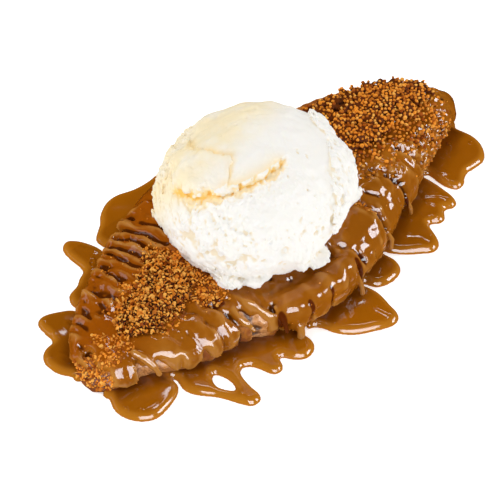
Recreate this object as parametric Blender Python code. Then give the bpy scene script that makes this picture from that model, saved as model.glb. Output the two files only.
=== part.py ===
"""A croffle: a pressed croissant under a poured caramel sauce, with biscuit crumbs,
a scoop of ice cream on top and pools of sauce that ran off it.

The origin is the middle of the pastry's flat base. +X runs along the pastry to its crumbed
tip, +Y to its ribbed side and +Z up. Lengths in the tables are millimetres.
"""
import math

import bmesh
import bpy
import numpy as np
from mathutils import Vector
from mathutils.geometry import delaunay_2d_cdt

MM = 0.001                  # metres in a millimetre

# ---- driving dimensions, mm -------------------------------------------------------------
GAP = 0.35                  # clearance between pieces that touch
UNDERCUT = 3.5              # how far the base stands in under the widest outline
COAT = 1.1                  # thickness of the poured sauce
POOL_DEPTH = 2.1            # thickness of a pool on the table
POOL_LIP = 0.8              # upright part of a pool's edge
POOL_ROUND = 1.1            # width of a pool's rounded edge
SCOOP = (-8.2, -4.0, 29.5)  # middle of the ice cream ball
SCOOP_RADIUS = 29.6         # its half width
SCOOP_RISE = 23.0           # from its middle to its top
SCOOP_LEAN = (1.5, -1.3)    # how far its top lies off its middle
SCOOP_DROP = 20.2           # from its middle to where its lower half would close
SCOOP_FULLNESS = 2.15       # how full its outline is, where 2 is an ellipse
MELT = 2.4                  # thickness of the melted lobes
MELT_INSET = 1.5            # how far the ball's base stands in under its foot
MELT_BULGE = 0.3            # how far the lobes' edge stands out
MELT_BELLY = 0.6            # at this share of their thickness
MELT_SHOULDER = 1.6         # and how far in it has gone at the top
FOOT_RISE = 0.8             # from the melt's top to the lowest row of the ball
SPOKES, BALL_ROWS = 44, 12  # vertices round the ball, and rows of them over its foot
ROW_CROWDING = 1.15         # how much closer the rows are at its foot
UNDER_SHARES = (0.3, 0.55, 0.78, 0.9, 1.0)  # rings of its underside, as shares of its foot
FOOT_ROUNDS = 5             # rounds that settle where the ball meets its melt

# Sections of the pastry: x, near edge y, far edge y, crown z, and z of the widest outline
SECTIONS = (
    (-78.8, -9.0, -4.8, 5.4, 3.0),
    (-77.4, -11.2, -1.6, 7.0, 3.4),
    (-74.0, -14.4, 3.2, 8.8, 4.0),
    (-65.0, -17.4, 10.8, 10.8, 4.8),
    (-50.0, -25.2, 19.0, 13.2, 5.6),
    (-40.0, -27.2, 24.8, 14.6, 6.2),
    (-30.0, -30.6, 29.4, 15.8, 6.6),
    (-20.0, -34.4, 32.6, 16.8, 7.0),
    (-8.0, -35.8, 34.6, 17.6, 7.4),
    (4.0, -35.0, 34.8, 18.0, 7.6),
    (15.0, -31.6, 33.2, 18.2, 7.8),
    (25.0, -28.0, 30.6, 18.4, 8.0),
    (33.0, -24.4, 29.4, 18.6, 8.2),
    (41.0, -21.8, 27.8, 18.8, 8.4),
    (50.0, -18.2, 25.4, 18.8, 8.6),
    (60.0, -13.8, 20.4, 17.8, 8.6),
    (70.0, -10.4, 14.2, 15.0, 8.4),
    (78.0, -7.8, 6.4, 12.0, 7.2),
    (81.6, -4.6, 1.4, 9.6, 6.2),
)
ROUNDNESS = 2.6             # exponent of the sections' upper outline
EDGE_SLOPE = 6.0            # how steep the upper outline is where it meets the walls
STATION = 2.6               # usual distance between the sections that the mesh has
RIB_DENSITY, RIB_MIDDLE, RIB_REACH = 0.35, -50.0, 22.0  # how much closer, and where
TIP_DENSITY, TIP_REACH = 1.2, 3.0                       # and the same at both tips

# Creases between the pressed folds: points in plan, half width, depth
NEAR_CREASES = (
    (((-67.0, -8.0), (-65.2, -14.0), (-64.6, -24.0)), 1.8, 1.4),
    (((-56.0, -12.0), (-52.0, -20.0), (-49.4, -30.0)), 1.6, 1.9),
    (((-46.4, -13.0), (-45.2, -20.0), (-43.6, -31.0)), 1.5, 1.7),
    (((-41.0, -14.0), (-38.4, -22.0), (-37.2, -32.0)), 1.7, 2.2),
    (((-36.0, -14.0), (-33.2, -22.0), (-31.6, -34.0)), 1.6, 2.0),
    (((-28.5, -26.0), (-26.6, -31.0), (-25.4, -38.0)), 1.6, 2.6),
    (((-1.5, -24.0), (2.0, -30.0), (5.4, -39.0)), 1.7, 2.2),
    (((18.4, -19.0), (20.4, -26.0), (23.0, -33.0)), 1.7, 2.4),
    (((31.0, -14.0), (35.0, -20.0), (38.0, -27.0)), 1.7, 2.4),
    (((44.0, -9.0), (49.0, -16.0), (52.4, -23.0)), 1.8, 2.0),
)
# Grooves between the ribs of the far side, straight across it: x, inner end y, depth
RIB_GROOVES = (
    (-66.6, 4.5, 1.2), (-60.4, 4.0, 1.9), (-53.0, 6.0, 2.0), (-47.2, 8.0, 2.0),
    (-43.2, 9.0, 1.9), (-39.2, 10.0, 1.9), (-35.4, 11.0, 1.9), (-31.2, 14.0, 2.0),
)
RIB_GROOVE_WIDTH = 1.2
# Long swellings of the surface: points in plan, half width, height (a hollow is negative)
SWELLINGS = (
    (((-24.0, -31.5), (-12.0, -34.0), (0.0, -33.2)), 3.4, 1.5),
    (((-24.0, -25.5), (-12.0, -27.2), (0.0, -26.2)), 3.2, -1.6),
    (((8.0, -29.0), (15.0, -27.0)), 5.5, 1.3),
    (((24.0, -22.0), (31.0, -20.0)), 5.5, 1.3),
    (((40.0, -18.0), (45.0, -16.0)), 4.5, 1.2),
    (((56.0, -4.0), (68.0, 2.0)), 9.0, 1.2),
)

# The sauce coat: x of its ends, and its lower edge on the near wall as (x, height)
COAT_ENDS = (-76.0, 78.0)
COAT_START, COAT_GAIN = 0.4, 0.3  # share of its thickness at its ends, and a section further
HEM_STEP = 0.6              # the least that the hem runs down under the widest outline
NEAR_HEM = (
    (-77.0, 4.0), (-72.0, 3.4), (-67.0, 3.8), (-64.0, 8.0), (-61.0, 7.0), (-58.0, 3.6),
    (-53.0, 3.2), (-49.5, 7.6), (-46.5, 3.4), (-42.0, 3.6), (-38.5, 4.0), (-35.0, 9.5),
    (-31.5, 6.0), (-28.0, 4.4), (-25.5, 6.5), (-21.0, 3.2), (-17.0, 5.6), (-10.0, 5.2),
    (-3.0, 3.6), (4.0, 3.3), (8.0, 5.2), (14.0, 3.4), (19.5, 5.6), (26.0, 3.4),
    (33.5, 5.4), (40.0, 3.4), (48.0, 5.6), (56.0, 4.6), (66.0, 5.6), (78.0, 6.4),
)
# Its far edge in plan as (x, share of the way from the middle to the far outline)
FAR_HEM = (
    (-77.0, 0.96), (-30.0, 0.99), (20.0, 0.96), (34.0, 0.80), (50.0, 0.66), (66.0, 0.60),
    (78.0, 0.60),
)

# Pools: outline in plan, run on under the pastry, whose base then cuts them
POOLS = {
    "pool_tip_far": (
        (-60.5, 13.0), (-61.2, 18.7), (-64.3, 21.2), (-67.8, 23.2), (-70.4, 23.9),
        (-72.5, 22.9), (-73.5, 19.4), (-73.6, 15.7), (-74.2, 13.4), (-77.0, 13.4),
        (-79.9, 11.8), (-81.5, 8.8), (-81.5, 5.2), (-80.3, 1.6), (-76.0, -2.0), (-70.0, 2.0),
    ),
    "pool_far_left": (
        (-56.0, 12.0), (-60.2, 19.5), (-59.8, 22.6), (-58.4, 24.8), (-54.0, 25.8),
        (-51.6, 27.8), (-48.4, 29.2), (-47.9, 33.8), (-47.6, 38.4), (-46.3, 41.6),
        (-44.0, 42.8), (-41.7, 40.8), (-39.6, 37.2), (-38.6, 30.0), (-44.0, 18.0),
    ),
    "pool_far_middle": (
        (-33.0, 26.0), (-37.2, 35.0), (-35.4, 38.0), (-31.6, 40.6), (-28.6, 43.8), (-23.6, 46.6),
        (-19.1, 46.8), (-14.0, 45.0), (-7.7, 44.4), (0.0, 45.2), (7.0, 42.6), (12.0, 37.0),
        (10.0, 28.0), (-12.0, 26.0),
    ),
    "pool_tip_near": (
        (-71.0, -10.0), (-75.7, -12.8), (-78.0, -15.8), (-79.2, -19.6), (-78.4, -23.8),
        (-76.1, -27.3), (-72.6, -29.3), (-68.4, -29.0), (-64.4, -27.9), (-61.4, -26.6),
        (-59.4, -24.4), (-59.4, -22.0), (-61.5, -15.0),
    ),
    "pool_near_left": (
        (-55.0, -17.0), (-58.9, -23.8), (-59.7, -26.6), (-58.9, -30.0), (-56.6, -33.2),
        (-54.9, -35.4), (-53.4, -38.4), (-51.6, -42.6), (-49.8, -45.4), (-47.0, -45.8),
        (-45.3, -43.9), (-45.2, -40.6), (-44.6, -36.8), (-43.4, -33.4), (-41.4, -32.6),
        (-39.3, -34.4), (-38.3, -37.2), (-37.7, -40.0), (-36.2, -41.8), (-34.0, -41.8),
        (-32.4, -40.2), (-31.7, -37.4), (-30.7, -37.4), (-29.5, -40.0), (-27.6, -42.4),
        (-24.8, -43.6), (-22.0, -42.9), (-20.2, -41.2), (-19.5, -38.2), (-20.4, -34.0),
        (-22.0, -27.0), (-40.0, -20.0),
    ),
    "pool_near_middle": (
        (-14.0, -30.0), (-15.4, -35.6), (-13.8, -38.4), (-12.9, -41.8), (-10.8, -45.1),
        (-8.0, -47.7), (-4.2, -49.8), (-0.7, -51.6), (2.6, -52.6), (5.2, -51.8), (6.5, -49.6),
        (7.0, -46.4), (8.0, -42.6), (8.2, -39.0), (6.6, -34.0), (2.0, -29.0),
    ),
    "pool_near_round": (
        (9.5, -28.0), (8.6, -36.4), (10.0, -38.6), (12.6, -39.7), (16.0, -40.0), (19.4, -39.2),
        (21.2, -37.6), (22.1, -34.8), (21.6, -31.6), (20.0, -25.0),
    ),
    "pool_near_right": (
        (26.0, -22.0), (22.8, -29.4), (24.0, -32.2), (26.6, -35.4), (30.3, -38.4), (33.0, -40.5),
        (36.3, -39.9), (38.3, -37.4), (39.7, -34.0), (40.9, -31.2), (42.2, -31.8), (43.8, -33.6),
        (46.2, -33.6), (48.0, -31.6), (49.2, -30.2), (50.4, -30.8), (52.2, -32.1), (54.5, -31.2),
        (55.6, -28.6), (55.9, -24.6), (56.0, -19.6), (55.0, -15.0), (48.0, -12.0), (38.0, -17.0),
    ),
    "pool_tip_right": (
        (60.0, -9.0), (57.5, -19.6), (57.8, -24.8), (59.6, -27.5), (62.4, -27.2), (64.8, -25.2),
        (67.2, -24.2), (71.0, -24.6), (75.0, -24.4), (78.2, -22.1), (80.7, -18.0),
        (81.3, -13.8), (80.4, -9.4), (79.0, -2.0), (70.0, -2.0),
    ),
}
POOL_STEP = 2.0             # distance between the vertices of their outlines
# The hole between the strands of sauce of pool_near_left
STRAND_HOLE = (
    (-49.4, -28.2), (-51.4, -30.2), (-52.2, -33.0), (-51.2, -35.4), (-49.8, -37.8),
    (-48.8, -37.6), (-48.0, -35.4), (-48.0, -32.0),
)

# Crumb heaps: outline in plan and height over the coat
HEAPS = {
    "crumbs_front": (
        ((-64.5, -9.5), (-58.0, -13.0), (-49.0, -13.5), (-43.0, -12.8), (-38.6, -10.0),
         (-36.4, -3.0), (-37.0, 4.5), (-39.5, 9.5), (-43.0, 7.0), (-50.0, 4.5),
         (-57.0, 1.0), (-63.0, -3.0)),
        2.0,
    ),
    "crumbs_rear": (
        ((33.0, -7.5), (42.0, -9.5), (50.0, -7.5), (57.0, -8.0), (65.0, -6.5),
         (71.5, -5.0), (75.0, -0.5), (72.5, 5.5), (65.0, 10.0), (56.0, 14.5),
         (46.0, 17.5), (37.0, 18.5), (30.0, 12.0), (30.0, 1.0)),
        1.9,
    ),
}
CRUMB_BUMP = 0.55           # half the height of the bumps on a heap
CRUMB_SPAN = 2.4            # and their spacing
CRUMB_RAGGED = 0.7          # how uneven a heap's outline is
CRUMB_MARGIN = 0.55         # least distance of its inner vertices to that, in spacings
HEAP_SLOPE = 5.0            # how far in from its outline a heap has its full height
HEAP_EDGE = 0.35            # and the share of it that the outline has
REST_REACH = 1.8            # how far round a point a resting piece clears the coat

# Melted lobes of the ice cream: direction in degrees from +X, reach beyond the ball's foot,
# and half width in degrees
MELT_LOBES = (
    (212.0, 3.4, 13.0), (275.0, 4.6, 11.0), (327.0, 5.4, 8.0), (124.0, 4.9, 11.0),
    (168.0, 1.2, 24.0), (30.0, 2.8, 26.0),
)
# The fold where the ball was rolled, in plan. The roll to its left stands over the rest
FOLD_LINE = (
    (-35.0, 12.0), (-32.0, -2.0), (-28.0, -8.5), (-22.0, -12.0), (-12.0, -14.0), (-3.0, -13.0),
)
FOLD_STEP = 1.6             # how far it does
FOLD_WIDTH = 1.5            # half the width of the step
FOLD_REACH = 10.0           # how far behind the step it sinks back
FOLD_LOW = (8.0, 13.0)      # heights over the ball's middle between which it begins
# Lumps and dents of the ball: direction, height over its middle, half width in degrees,
# half height, and how far it stands out
BALL_LUMPS = (
    (118.0, 16.5, 16.0, 3.0, -1.6), (128.0, 10.0, 16.0, 4.5, 0.6), (100.0, 13.0, 28.0, 7.0, -1.4),
    (320.0, 4.0, 14.0, 12.0, 1.0), (290.0, -7.0, 22.0, 8.0, -2.8), (244.0, -9.0, 14.0, 6.0, -1.4),
    (200.0, -4.0, 24.0, 8.0, 0.8), (240.0, 2.0, 18.0, 7.0, 0.7), (60.0, 8.0, 30.0, 9.0, -0.6),
)

# Finish of each kind of piece: sRGB colour and roughness
FINISHES = {
    "sauce": ("#B0752A", 0.25),
    "pastry": ("#C98A4A", 0.55),
    "crumb": ("#C87F2A", 0.85),
    "ice_cream": ("#FAF5EA", 0.5),
}


# ---- helpers ----------------------------------------------------------------------------
def clear_scene():
    for item in list(bpy.data.objects):
        bpy.data.objects.remove(item, do_unlink=True)


def hermite(table, x):
    """Each column of a table after its first, as a smooth curve through the rows."""
    rows = np.array(table, float)
    keys, values = rows[:, 0], rows[:, 1:]
    slopes = np.gradient(values, keys, axis=0)
    x = np.clip(np.asarray(x, float), keys[0], keys[-1])
    i = np.clip(np.searchsorted(keys, x) - 1, 0, len(keys) - 2)
    step = (keys[i + 1] - keys[i])[..., None]
    t = ((x - keys[i]) / (keys[i + 1] - keys[i]))[..., None]
    h = (2 * t**3 - 3 * t**2 + 1, t**3 - 2 * t**2 + t, 3 * t**2 - 2 * t**3, t**3 - t**2)
    out = h[0] * values[i] + h[1] * step * slopes[i] + h[2] * values[i + 1] + h[3] * step * slopes[i + 1]
    return np.moveaxis(out, -1, 0)


def closed_curve(points, spacing):
    """A smooth closed curve through points, with a vertex about every spacing."""
    points = np.array(points, float)
    out = []
    for i in range(len(points)):
        a, b, c, d = (points[(i + k) % len(points)] for k in (-1, 0, 1, 2))
        count = max(1, round(float(np.linalg.norm(c - b)) / spacing))
        for t in np.arange(count) / count:
            bend = (2 * a - 5 * b + 4 * c - d) * t**2 + (3 * b - 3 * c + d - a) * t**3
            out.append(b + ((c - a) * t + bend) / 2)
    return np.array(out)


def distance(x, y, points):
    """Distance in plan to a line through points."""
    best = np.full(np.shape(x), np.inf)
    for (ax, ay), (bx, by) in zip(points[:-1], points[1:]):
        run = (bx - ax) ** 2 + (by - ay) ** 2
        t = np.clip(((x - ax) * (bx - ax) + (y - ay) * (by - ay)) / run, 0, 1)
        best = np.minimum(best, np.hypot(x - ax - t * (bx - ax), y - ay - t * (by - ay)))
    return best


def left_of(x, y, points):
    """Distance in plan to a line through points, positive to its left."""
    best, side = np.full(np.shape(x), np.inf), np.ones(np.shape(x))
    for a, b in zip(points[:-1], points[1:]):
        away = distance(x, y, (a, b))
        turn = np.sign((b[0] - a[0]) * (y - a[1]) - (b[1] - a[1]) * (x - a[0]))
        side = np.where(away < best, turn, side)
        best = np.minimum(best, away)
    return best * side


def smoothstep(low, high, value):
    t = np.clip((value - low) / (high - low), 0, 1)
    return t * t * (3 - 2 * t)


def bell(value, width):
    return np.exp(-((value / width) ** 2))


def linear(colour):
    """An sRGB hex colour as linear RGBA."""
    parts = [int(colour[i:i + 2], 16) / 255 for i in (1, 3, 5)]
    return [c / 12.92 if c <= 0.04045 else ((c + 0.055) / 1.055) ** 2.4 for c in parts] + [1]


def material(name):
    found = bpy.data.materials.get(name)
    if found:
        return found
    colour, roughness = FINISHES[name]
    made = bpy.data.materials.new(name)
    made.use_nodes = True
    shader = made.node_tree.nodes["Principled BSDF"]
    shader.inputs["Base Color"].default_value = linear(colour)
    shader.inputs["Roughness"].default_value = roughness
    shader.inputs["Metallic"].default_value = 0.0
    return made


def add_object(name, vertices, faces, finish_name):
    """An object from vertices in mm, closed and facing out."""
    mesh = bpy.data.meshes.new(name)
    mesh.from_pydata([tuple(v) for v in np.asarray(vertices) * MM], [], faces)
    made = bpy.data.objects.new(name, mesh)
    bpy.context.scene.collection.objects.link(made)
    mesh.materials.append(material(finish_name))
    work = bmesh.new()
    work.from_mesh(mesh)
    bmesh.ops.recalc_face_normals(work, faces=work.faces)
    work.to_mesh(mesh)
    work.free()
    mesh.shade_smooth()
    mesh.set_sharp_from_angle(angle=math.radians(50))
    return made


def grid_faces(rows, columns, start=0):
    """Triangles over rings of vertices, each quad split the same way."""
    faces = []
    for i in range(rows - 1):
        for j in range(columns):
            k = (j + 1) % columns
            a = start + i * columns
            faces += [(a + j, a + k, a + columns + k), (a + j, a + columns + k, a + columns + j)]
    return faces


# ---- the pastry's surface ---------------------------------------------------------------
def relief(x, y):
    """How far folds, creases and ribs stand out of the plain section."""
    out = np.zeros(np.broadcast(x, y).shape)
    for points, width, height in SWELLINGS:
        out = out + height * bell(distance(x, y, points), width)
    for points, width, depth in NEAR_CREASES:
        out = out - depth * bell(distance(x, y, points), width)
    for groove_x, inner_y, depth in RIB_GROOVES:
        out = out - depth * bell(x - groove_x, RIB_GROOVE_WIDTH) * smoothstep(inner_y - 3, inner_y + 3, y)
    return out


def crown_height(x, y):
    """Height of the plain section's upper outline."""
    near, far, crown, rim = hermite(SECTIONS, x)
    t = np.clip(np.abs((y - (near + far) / 2) / ((far - near) / 2)), 0, 1)
    return rim + (crown - rim) * np.sqrt(1 - t**ROUNDNESS)


def surface(x, shares, lift):
    """Points of the section at x for shares from -1, the near edge, to 1, raised by lift."""
    near, far, _, _ = hermite(SECTIONS, x)
    y = (near + far) / 2 + shares * (far - near) / 2
    z = crown_height(x, y)
    slope = np.gradient(z, y)
    slope[0], slope[-1] = max(slope[1], 0) + EDGE_SLOPE, min(slope[-2], 0) - EDGE_SLOPE
    normal = np.stack([-slope, np.ones_like(slope)]) / np.hypot(slope, 1)
    raised = relief(x, y) + lift
    return y + normal[0] * raised, z + normal[1] * raised


def stations(start, end, spacing):
    """Values of x along the pastry, closer where the ribs are and towards the tips."""
    fine = np.linspace(start, end, 2000)
    tips = bell(fine - start, TIP_REACH) + bell(fine - end, TIP_REACH)
    density = 1 + RIB_DENSITY * bell(fine - RIB_MIDDLE, RIB_REACH) + TIP_DENSITY * tips
    steps = np.concatenate([[0], np.cumsum((density[1:] + density[:-1]) / 2 * np.diff(fine))])
    count = round(steps[-1] / spacing)
    return np.interp(np.linspace(0, steps[-1], count), steps, fine)


def top_height(x, y):
    """Height of the folded surface over a place in plan."""
    return crown_height(x, y) + relief(x, y)


TOP_SHARES = np.array([-1, -0.985, -0.94, -0.87, -0.78, -0.67, -0.55, -0.4, -0.2, 0.0,
                       0.2, 0.4, 0.55, 0.67, 0.78, 0.87, 0.94, 0.985, 1])
WALL_ANGLES = np.radians([35, 65, 90])


def walls(x, angle):
    """The near and far wall below the widest outline, at an angle down from it."""
    near, far, _, _ = hermite(SECTIONS, x)
    inset = UNDERCUT * (1 - np.cos(angle)) * np.minimum(1.0, (far - near) / 24)
    left = near + inset - relief(x, near) * np.cos(angle)
    right = far - inset + relief(x, far) * np.cos(angle)
    return left, right


def pastry_section(x):
    """One closed ring of the pastry: over the top, down the far wall and back under it."""
    rim = hermite(SECTIONS, x)[3]
    y, z = surface(x, TOP_SHARES, 0.0)
    near, far = walls(x, WALL_ANGLES)
    heights = rim * (1 - np.sin(WALL_ANGLES))
    base = np.linspace(far[-1], near[-1], 4)[1:-1]
    ring_y = np.concatenate([y, far, base, near[::-1]])
    ring_z = np.concatenate([z, heights, base * 0, heights[::-1]])
    return np.stack([np.full_like(ring_y, x), ring_y, ring_z], 1)


def make_pastry():
    xs = stations(SECTIONS[0][0], SECTIONS[-1][0], STATION)
    rings = np.array([pastry_section(x) for x in xs])
    rows, columns = rings.shape[:2]
    faces = grid_faces(rows, columns)
    faces.append(tuple(range(columns))[::-1])
    faces.append(tuple(range((rows - 1) * columns, rows * columns)))
    return add_object("pastry", rings.reshape(-1, 3), faces, "pastry")


# ---- the sauce coat ---------------------------------------------------------------------
def coat_section(x, lift):
    """The coat's points at x, first the hem on the near wall, and which of them it has."""
    _, _, crown, rim = hermite(SECTIONS, x)
    hem = np.interp(x, *np.array(NEAR_HEM).T)
    rise = np.clip((hem - rim) / (crown - rim), 0, 1)
    start = -(1 - rise**2) ** (1 / ROUNDNESS)
    end = np.interp(x, *np.array(FAR_HEM).T)
    shares = np.clip(TOP_SHARES, start, end)
    first = np.searchsorted(TOP_SHARES, start, side="right") - 1
    last = np.searchsorted(TOP_SHARES, end)
    k = np.arange(len(TOP_SHARES))
    has = np.concatenate([[hem < rim - HEM_STEP], (k >= first) & (k <= last)])
    y, z = (np.interp(shares, TOP_SHARES, line) for line in surface(x, TOP_SHARES, lift))
    under = walls(x, WALL_ANGLES[0])[0] - lift
    down = np.clip((rim - hem) / (rim * np.sin(WALL_ANGLES[0])), 0, 1)
    y = np.concatenate([[y[0] + (under - y[0]) * down], y])
    z = np.concatenate([[hem], z])
    return np.stack([np.full_like(y, x), y, z], 1), has


def skin(outer, inner, has):
    """Faces of a closed skin between two grids of vertices, over the cells that it has."""
    rows, columns = has.shape
    index = np.arange(rows * columns).reshape(rows, columns)
    faces = []
    for i in range(rows - 1):
        for j in range(columns - 1):
            corners = [(i, j), (i, j + 1), (i + 1, j + 1), (i + 1, j)]
            face = [int(index[c]) for c in corners if has[c]]
            if len(face) > 2:
                faces.append(tuple(face[:3]))
            if len(face) > 3:
                faces.append((face[0], face[2], face[3]))
    uses = {}
    for face in faces:
        for a, b in zip(face, face[1:] + face[:1]):
            uses.setdefault((min(a, b), max(a, b)), []).append((a, b))
    count = rows * columns
    walls = [(b, a, count + a, count + b) for pairs in uses.values() if len(pairs) == 1
             for a, b in pairs]
    faces += [tuple(count + v for v in face[::-1]) for face in faces] + walls
    vertices = np.concatenate([outer.reshape(-1, 3), inner.reshape(-1, 3)])
    used = sorted({v for face in faces for v in face})
    place = {v: i for i, v in enumerate(used)}
    return vertices[used], [tuple(place[v] for v in face) for face in faces]


def make_coat():
    """The sauce as a closed skin over the pastry, hemmed down the near wall."""
    xs = stations(SECTIONS[0][0], SECTIONS[-1][0], STATION)
    xs = xs[(xs > COAT_ENDS[0]) & (xs < COAT_ENDS[1])]
    outer, inner, has = [], [], []
    for i, x in enumerate(xs):
        taper = min(1.0, COAT_START + COAT_GAIN * min(i, len(xs) - 1 - i))
        inner.append(coat_section(x, GAP)[0])
        points, present = coat_section(x, GAP + COAT * taper)
        outer.append(points)
        has.append(present)
    return add_object("sauce_coat", *skin(np.array(outer), np.array(inner), np.array(has)), "sauce")


# ---- pools ------------------------------------------------------------------------------
def foot_outline():
    """The pastry's outline in plan at the height of a pool, with the clearance round it."""
    xs = stations(SECTIONS[0][0], SECTIONS[-1][0], STATION)
    rim = hermite(SECTIONS, xs)[3]
    near, far = walls(xs, np.arcsin(1 - POOL_DEPTH / rim))
    loop = np.concatenate([np.stack([xs, near], 1), np.stack([xs, far], 1)[::-1]])
    return inward(loop, -GAP)


def inward(loop, amount):
    """A closed outline moved in along its own normals."""
    along = np.roll(loop, -1, 0) - np.roll(loop, 1, 0)
    normal = np.stack([-along[:, 1], along[:, 0]], 1) / np.linalg.norm(along, axis=1)[:, None]
    area = np.sum(loop[:, 0] * np.roll(loop[:, 1], -1) - loop[:, 1] * np.roll(loop[:, 0], -1))
    return loop + normal * amount * (1 if area > 0 else -1)


def prism(name, loops, finish_name):
    """A closed solid through stacked outlines (points, height), with flat ends."""
    count = len(loops[0][0])
    vertices = np.concatenate([np.column_stack([points, np.full(count, z)]) for points, z in loops])
    faces = grid_faces(len(loops), count)
    faces.append(tuple(range(count))[::-1])
    faces.append(tuple(range((len(loops) - 1) * count, len(loops) * count)))
    return add_object(name, vertices, faces, finish_name)


def cut(piece, cutter):
    """Cut a piece by a hidden helper."""
    cutter.hide_render = True
    cutter.display_type = "WIRE"
    modifier = piece.modifiers.new("cut_" + cutter.name, "BOOLEAN")
    modifier.operation = "DIFFERENCE"
    modifier.solver = "EXACT"
    modifier.object = cutter


def make_pools():
    foot = foot_outline()
    base = prism("pastry_foot", [(foot, -2), (foot, 12)], "pastry")
    for name, outline in POOLS.items():
        loop = closed_curve(outline, POOL_STEP)
        pool = prism(name, [
            (loop, 0.0),
            (loop, POOL_LIP),
            (inward(loop, POOL_ROUND), POOL_DEPTH),
        ], "sauce")
        cut(pool, base)
    hole = closed_curve(STRAND_HOLE, POOL_STEP)
    cutter = prism("strand_hole", [(hole, -1), (hole, POOL_DEPTH + 1)], "sauce")
    cut(bpy.data.objects["pool_near_left"], cutter)


# ---- crumb heaps ------------------------------------------------------------------------
def rest_height(x, y):
    """Height at which a piece clears the coat, also where its faces span a crease."""
    around = [top_height(x + dx, y + dy) for dx in (-REST_REACH, 0, REST_REACH)
              for dy in (-REST_REACH, 0, REST_REACH)]
    return np.max(around, axis=0) + COAT + 2 * GAP


def lattice(loop, spacing):
    """Points of a triangular lattice well inside a closed outline."""
    inner = inward(loop, CRUMB_MARGIN * spacing)
    low, high = loop.min(0), loop.max(0)
    points = []
    for row, y in enumerate(np.arange(low[1], high[1], spacing * math.sqrt(3) / 2)):
        for x in np.arange(low[0] + spacing * 0.5 * (row % 2), high[0], spacing):
            if inside(inner, x, y):
                points.append((x, y))
    return np.array(points)


def inside(loop, x, y):
    ahead = np.roll(loop, -1, 0)
    crossed = (loop[:, 1] > y) != (ahead[:, 1] > y)
    reach = (y - loop[:, 1]) / np.where(crossed, ahead[:, 1] - loop[:, 1], 1)
    return bool(np.sum(crossed & (x < loop[:, 0] + reach * (ahead[:, 0] - loop[:, 0]))) % 2)


def make_heap(name, outline, height, rng):
    """A heap of crumbs: its top is all bumps of about a crumb's width."""
    loop = closed_curve(outline, CRUMB_SPAN)
    loop = inward(loop, rng.uniform(-CRUMB_RAGGED, CRUMB_RAGGED, (len(loop), 1)))
    points = np.concatenate([loop, lattice(loop, CRUMB_SPAN)])
    rim = len(loop)
    plan, _, triangles, _, _, _ = delaunay_2d_cdt(
        [Vector(p) for p in points], [], [list(range(rim))], 1, 1e-4)
    x, y = np.array([tuple(p) for p in plan]).T
    below = rest_height(x, y)
    slope = smoothstep(0, HEAP_SLOPE, distance(x, y, [*loop, loop[0]]))
    mound = height * (HEAP_EDGE + (1 - HEAP_EDGE) * slope)
    above = below + mound + rng.uniform(-CRUMB_BUMP, CRUMB_BUMP, len(x)) * (np.arange(len(x)) >= rim)
    count = len(x)
    faces = [tuple(t) for t in triangles] + [tuple(count + i for i in t[::-1]) for t in triangles]
    for i in range(rim):
        k = (i + 1) % rim
        faces.append((i, k, count + k, count + i))
    vertices = np.concatenate([np.column_stack([x, y, above]), np.column_stack([x, y, below])])
    return add_object(name, vertices, faces, "crumb")


def make_heaps():
    rng = np.random.default_rng(7)
    for name, (outline, height) in HEAPS.items():
        make_heap(name, outline, height, rng)


# ---- ice cream --------------------------------------------------------------------------
def melt_reach(angles):
    """How far the melted lobes stand out of the ball's foot."""
    out = np.zeros_like(angles)
    for direction, reach, width in MELT_LOBES:
        turn = (np.degrees(angles) - direction + 180) % 360 - 180
        out = np.maximum(out, reach * np.exp(-((turn / width) ** 4)))
    return out


def ball_reach(angles, height):
    """Reach of the ball at heights over its middle, with its lumps and dents."""
    limit = np.where(height > 0, SCOOP_RISE, SCOOP_DROP)
    share = np.abs(height / limit) ** SCOOP_FULLNESS
    reach = SCOOP_RADIUS * np.sqrt(np.clip(1 - share, 0, 1))
    turn = np.degrees(angles) % 360
    out = np.zeros_like(reach)
    for direction, level, width, depth, amount in BALL_LUMPS:
        away = (turn - direction + 180) % 360 - 180
        out = out + amount * bell(away, width) * bell(height - level, depth)
    return reach + out * smoothstep(0, 8, reach)


def ball_points(angles, reach, height):
    """Points of the ball, leaning over and with the rolled fold's step."""
    lean = height / SCOOP_RISE * (height > 0)
    x = SCOOP[0] + reach * np.cos(angles) + lean * SCOOP_LEAN[0]
    y = SCOOP[1] + reach * np.sin(angles) + lean * SCOOP_LEAN[1]
    left = left_of(x, y, FOLD_LINE)
    step = smoothstep(-FOLD_WIDTH, FOLD_WIDTH, left) * np.exp(-np.maximum(left, 0) / FOLD_REACH)
    lift = FOLD_STEP * step * smoothstep(*FOLD_LOW, height)
    return np.stack([x, y, SCOOP[2] + height + lift], 1)


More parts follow.
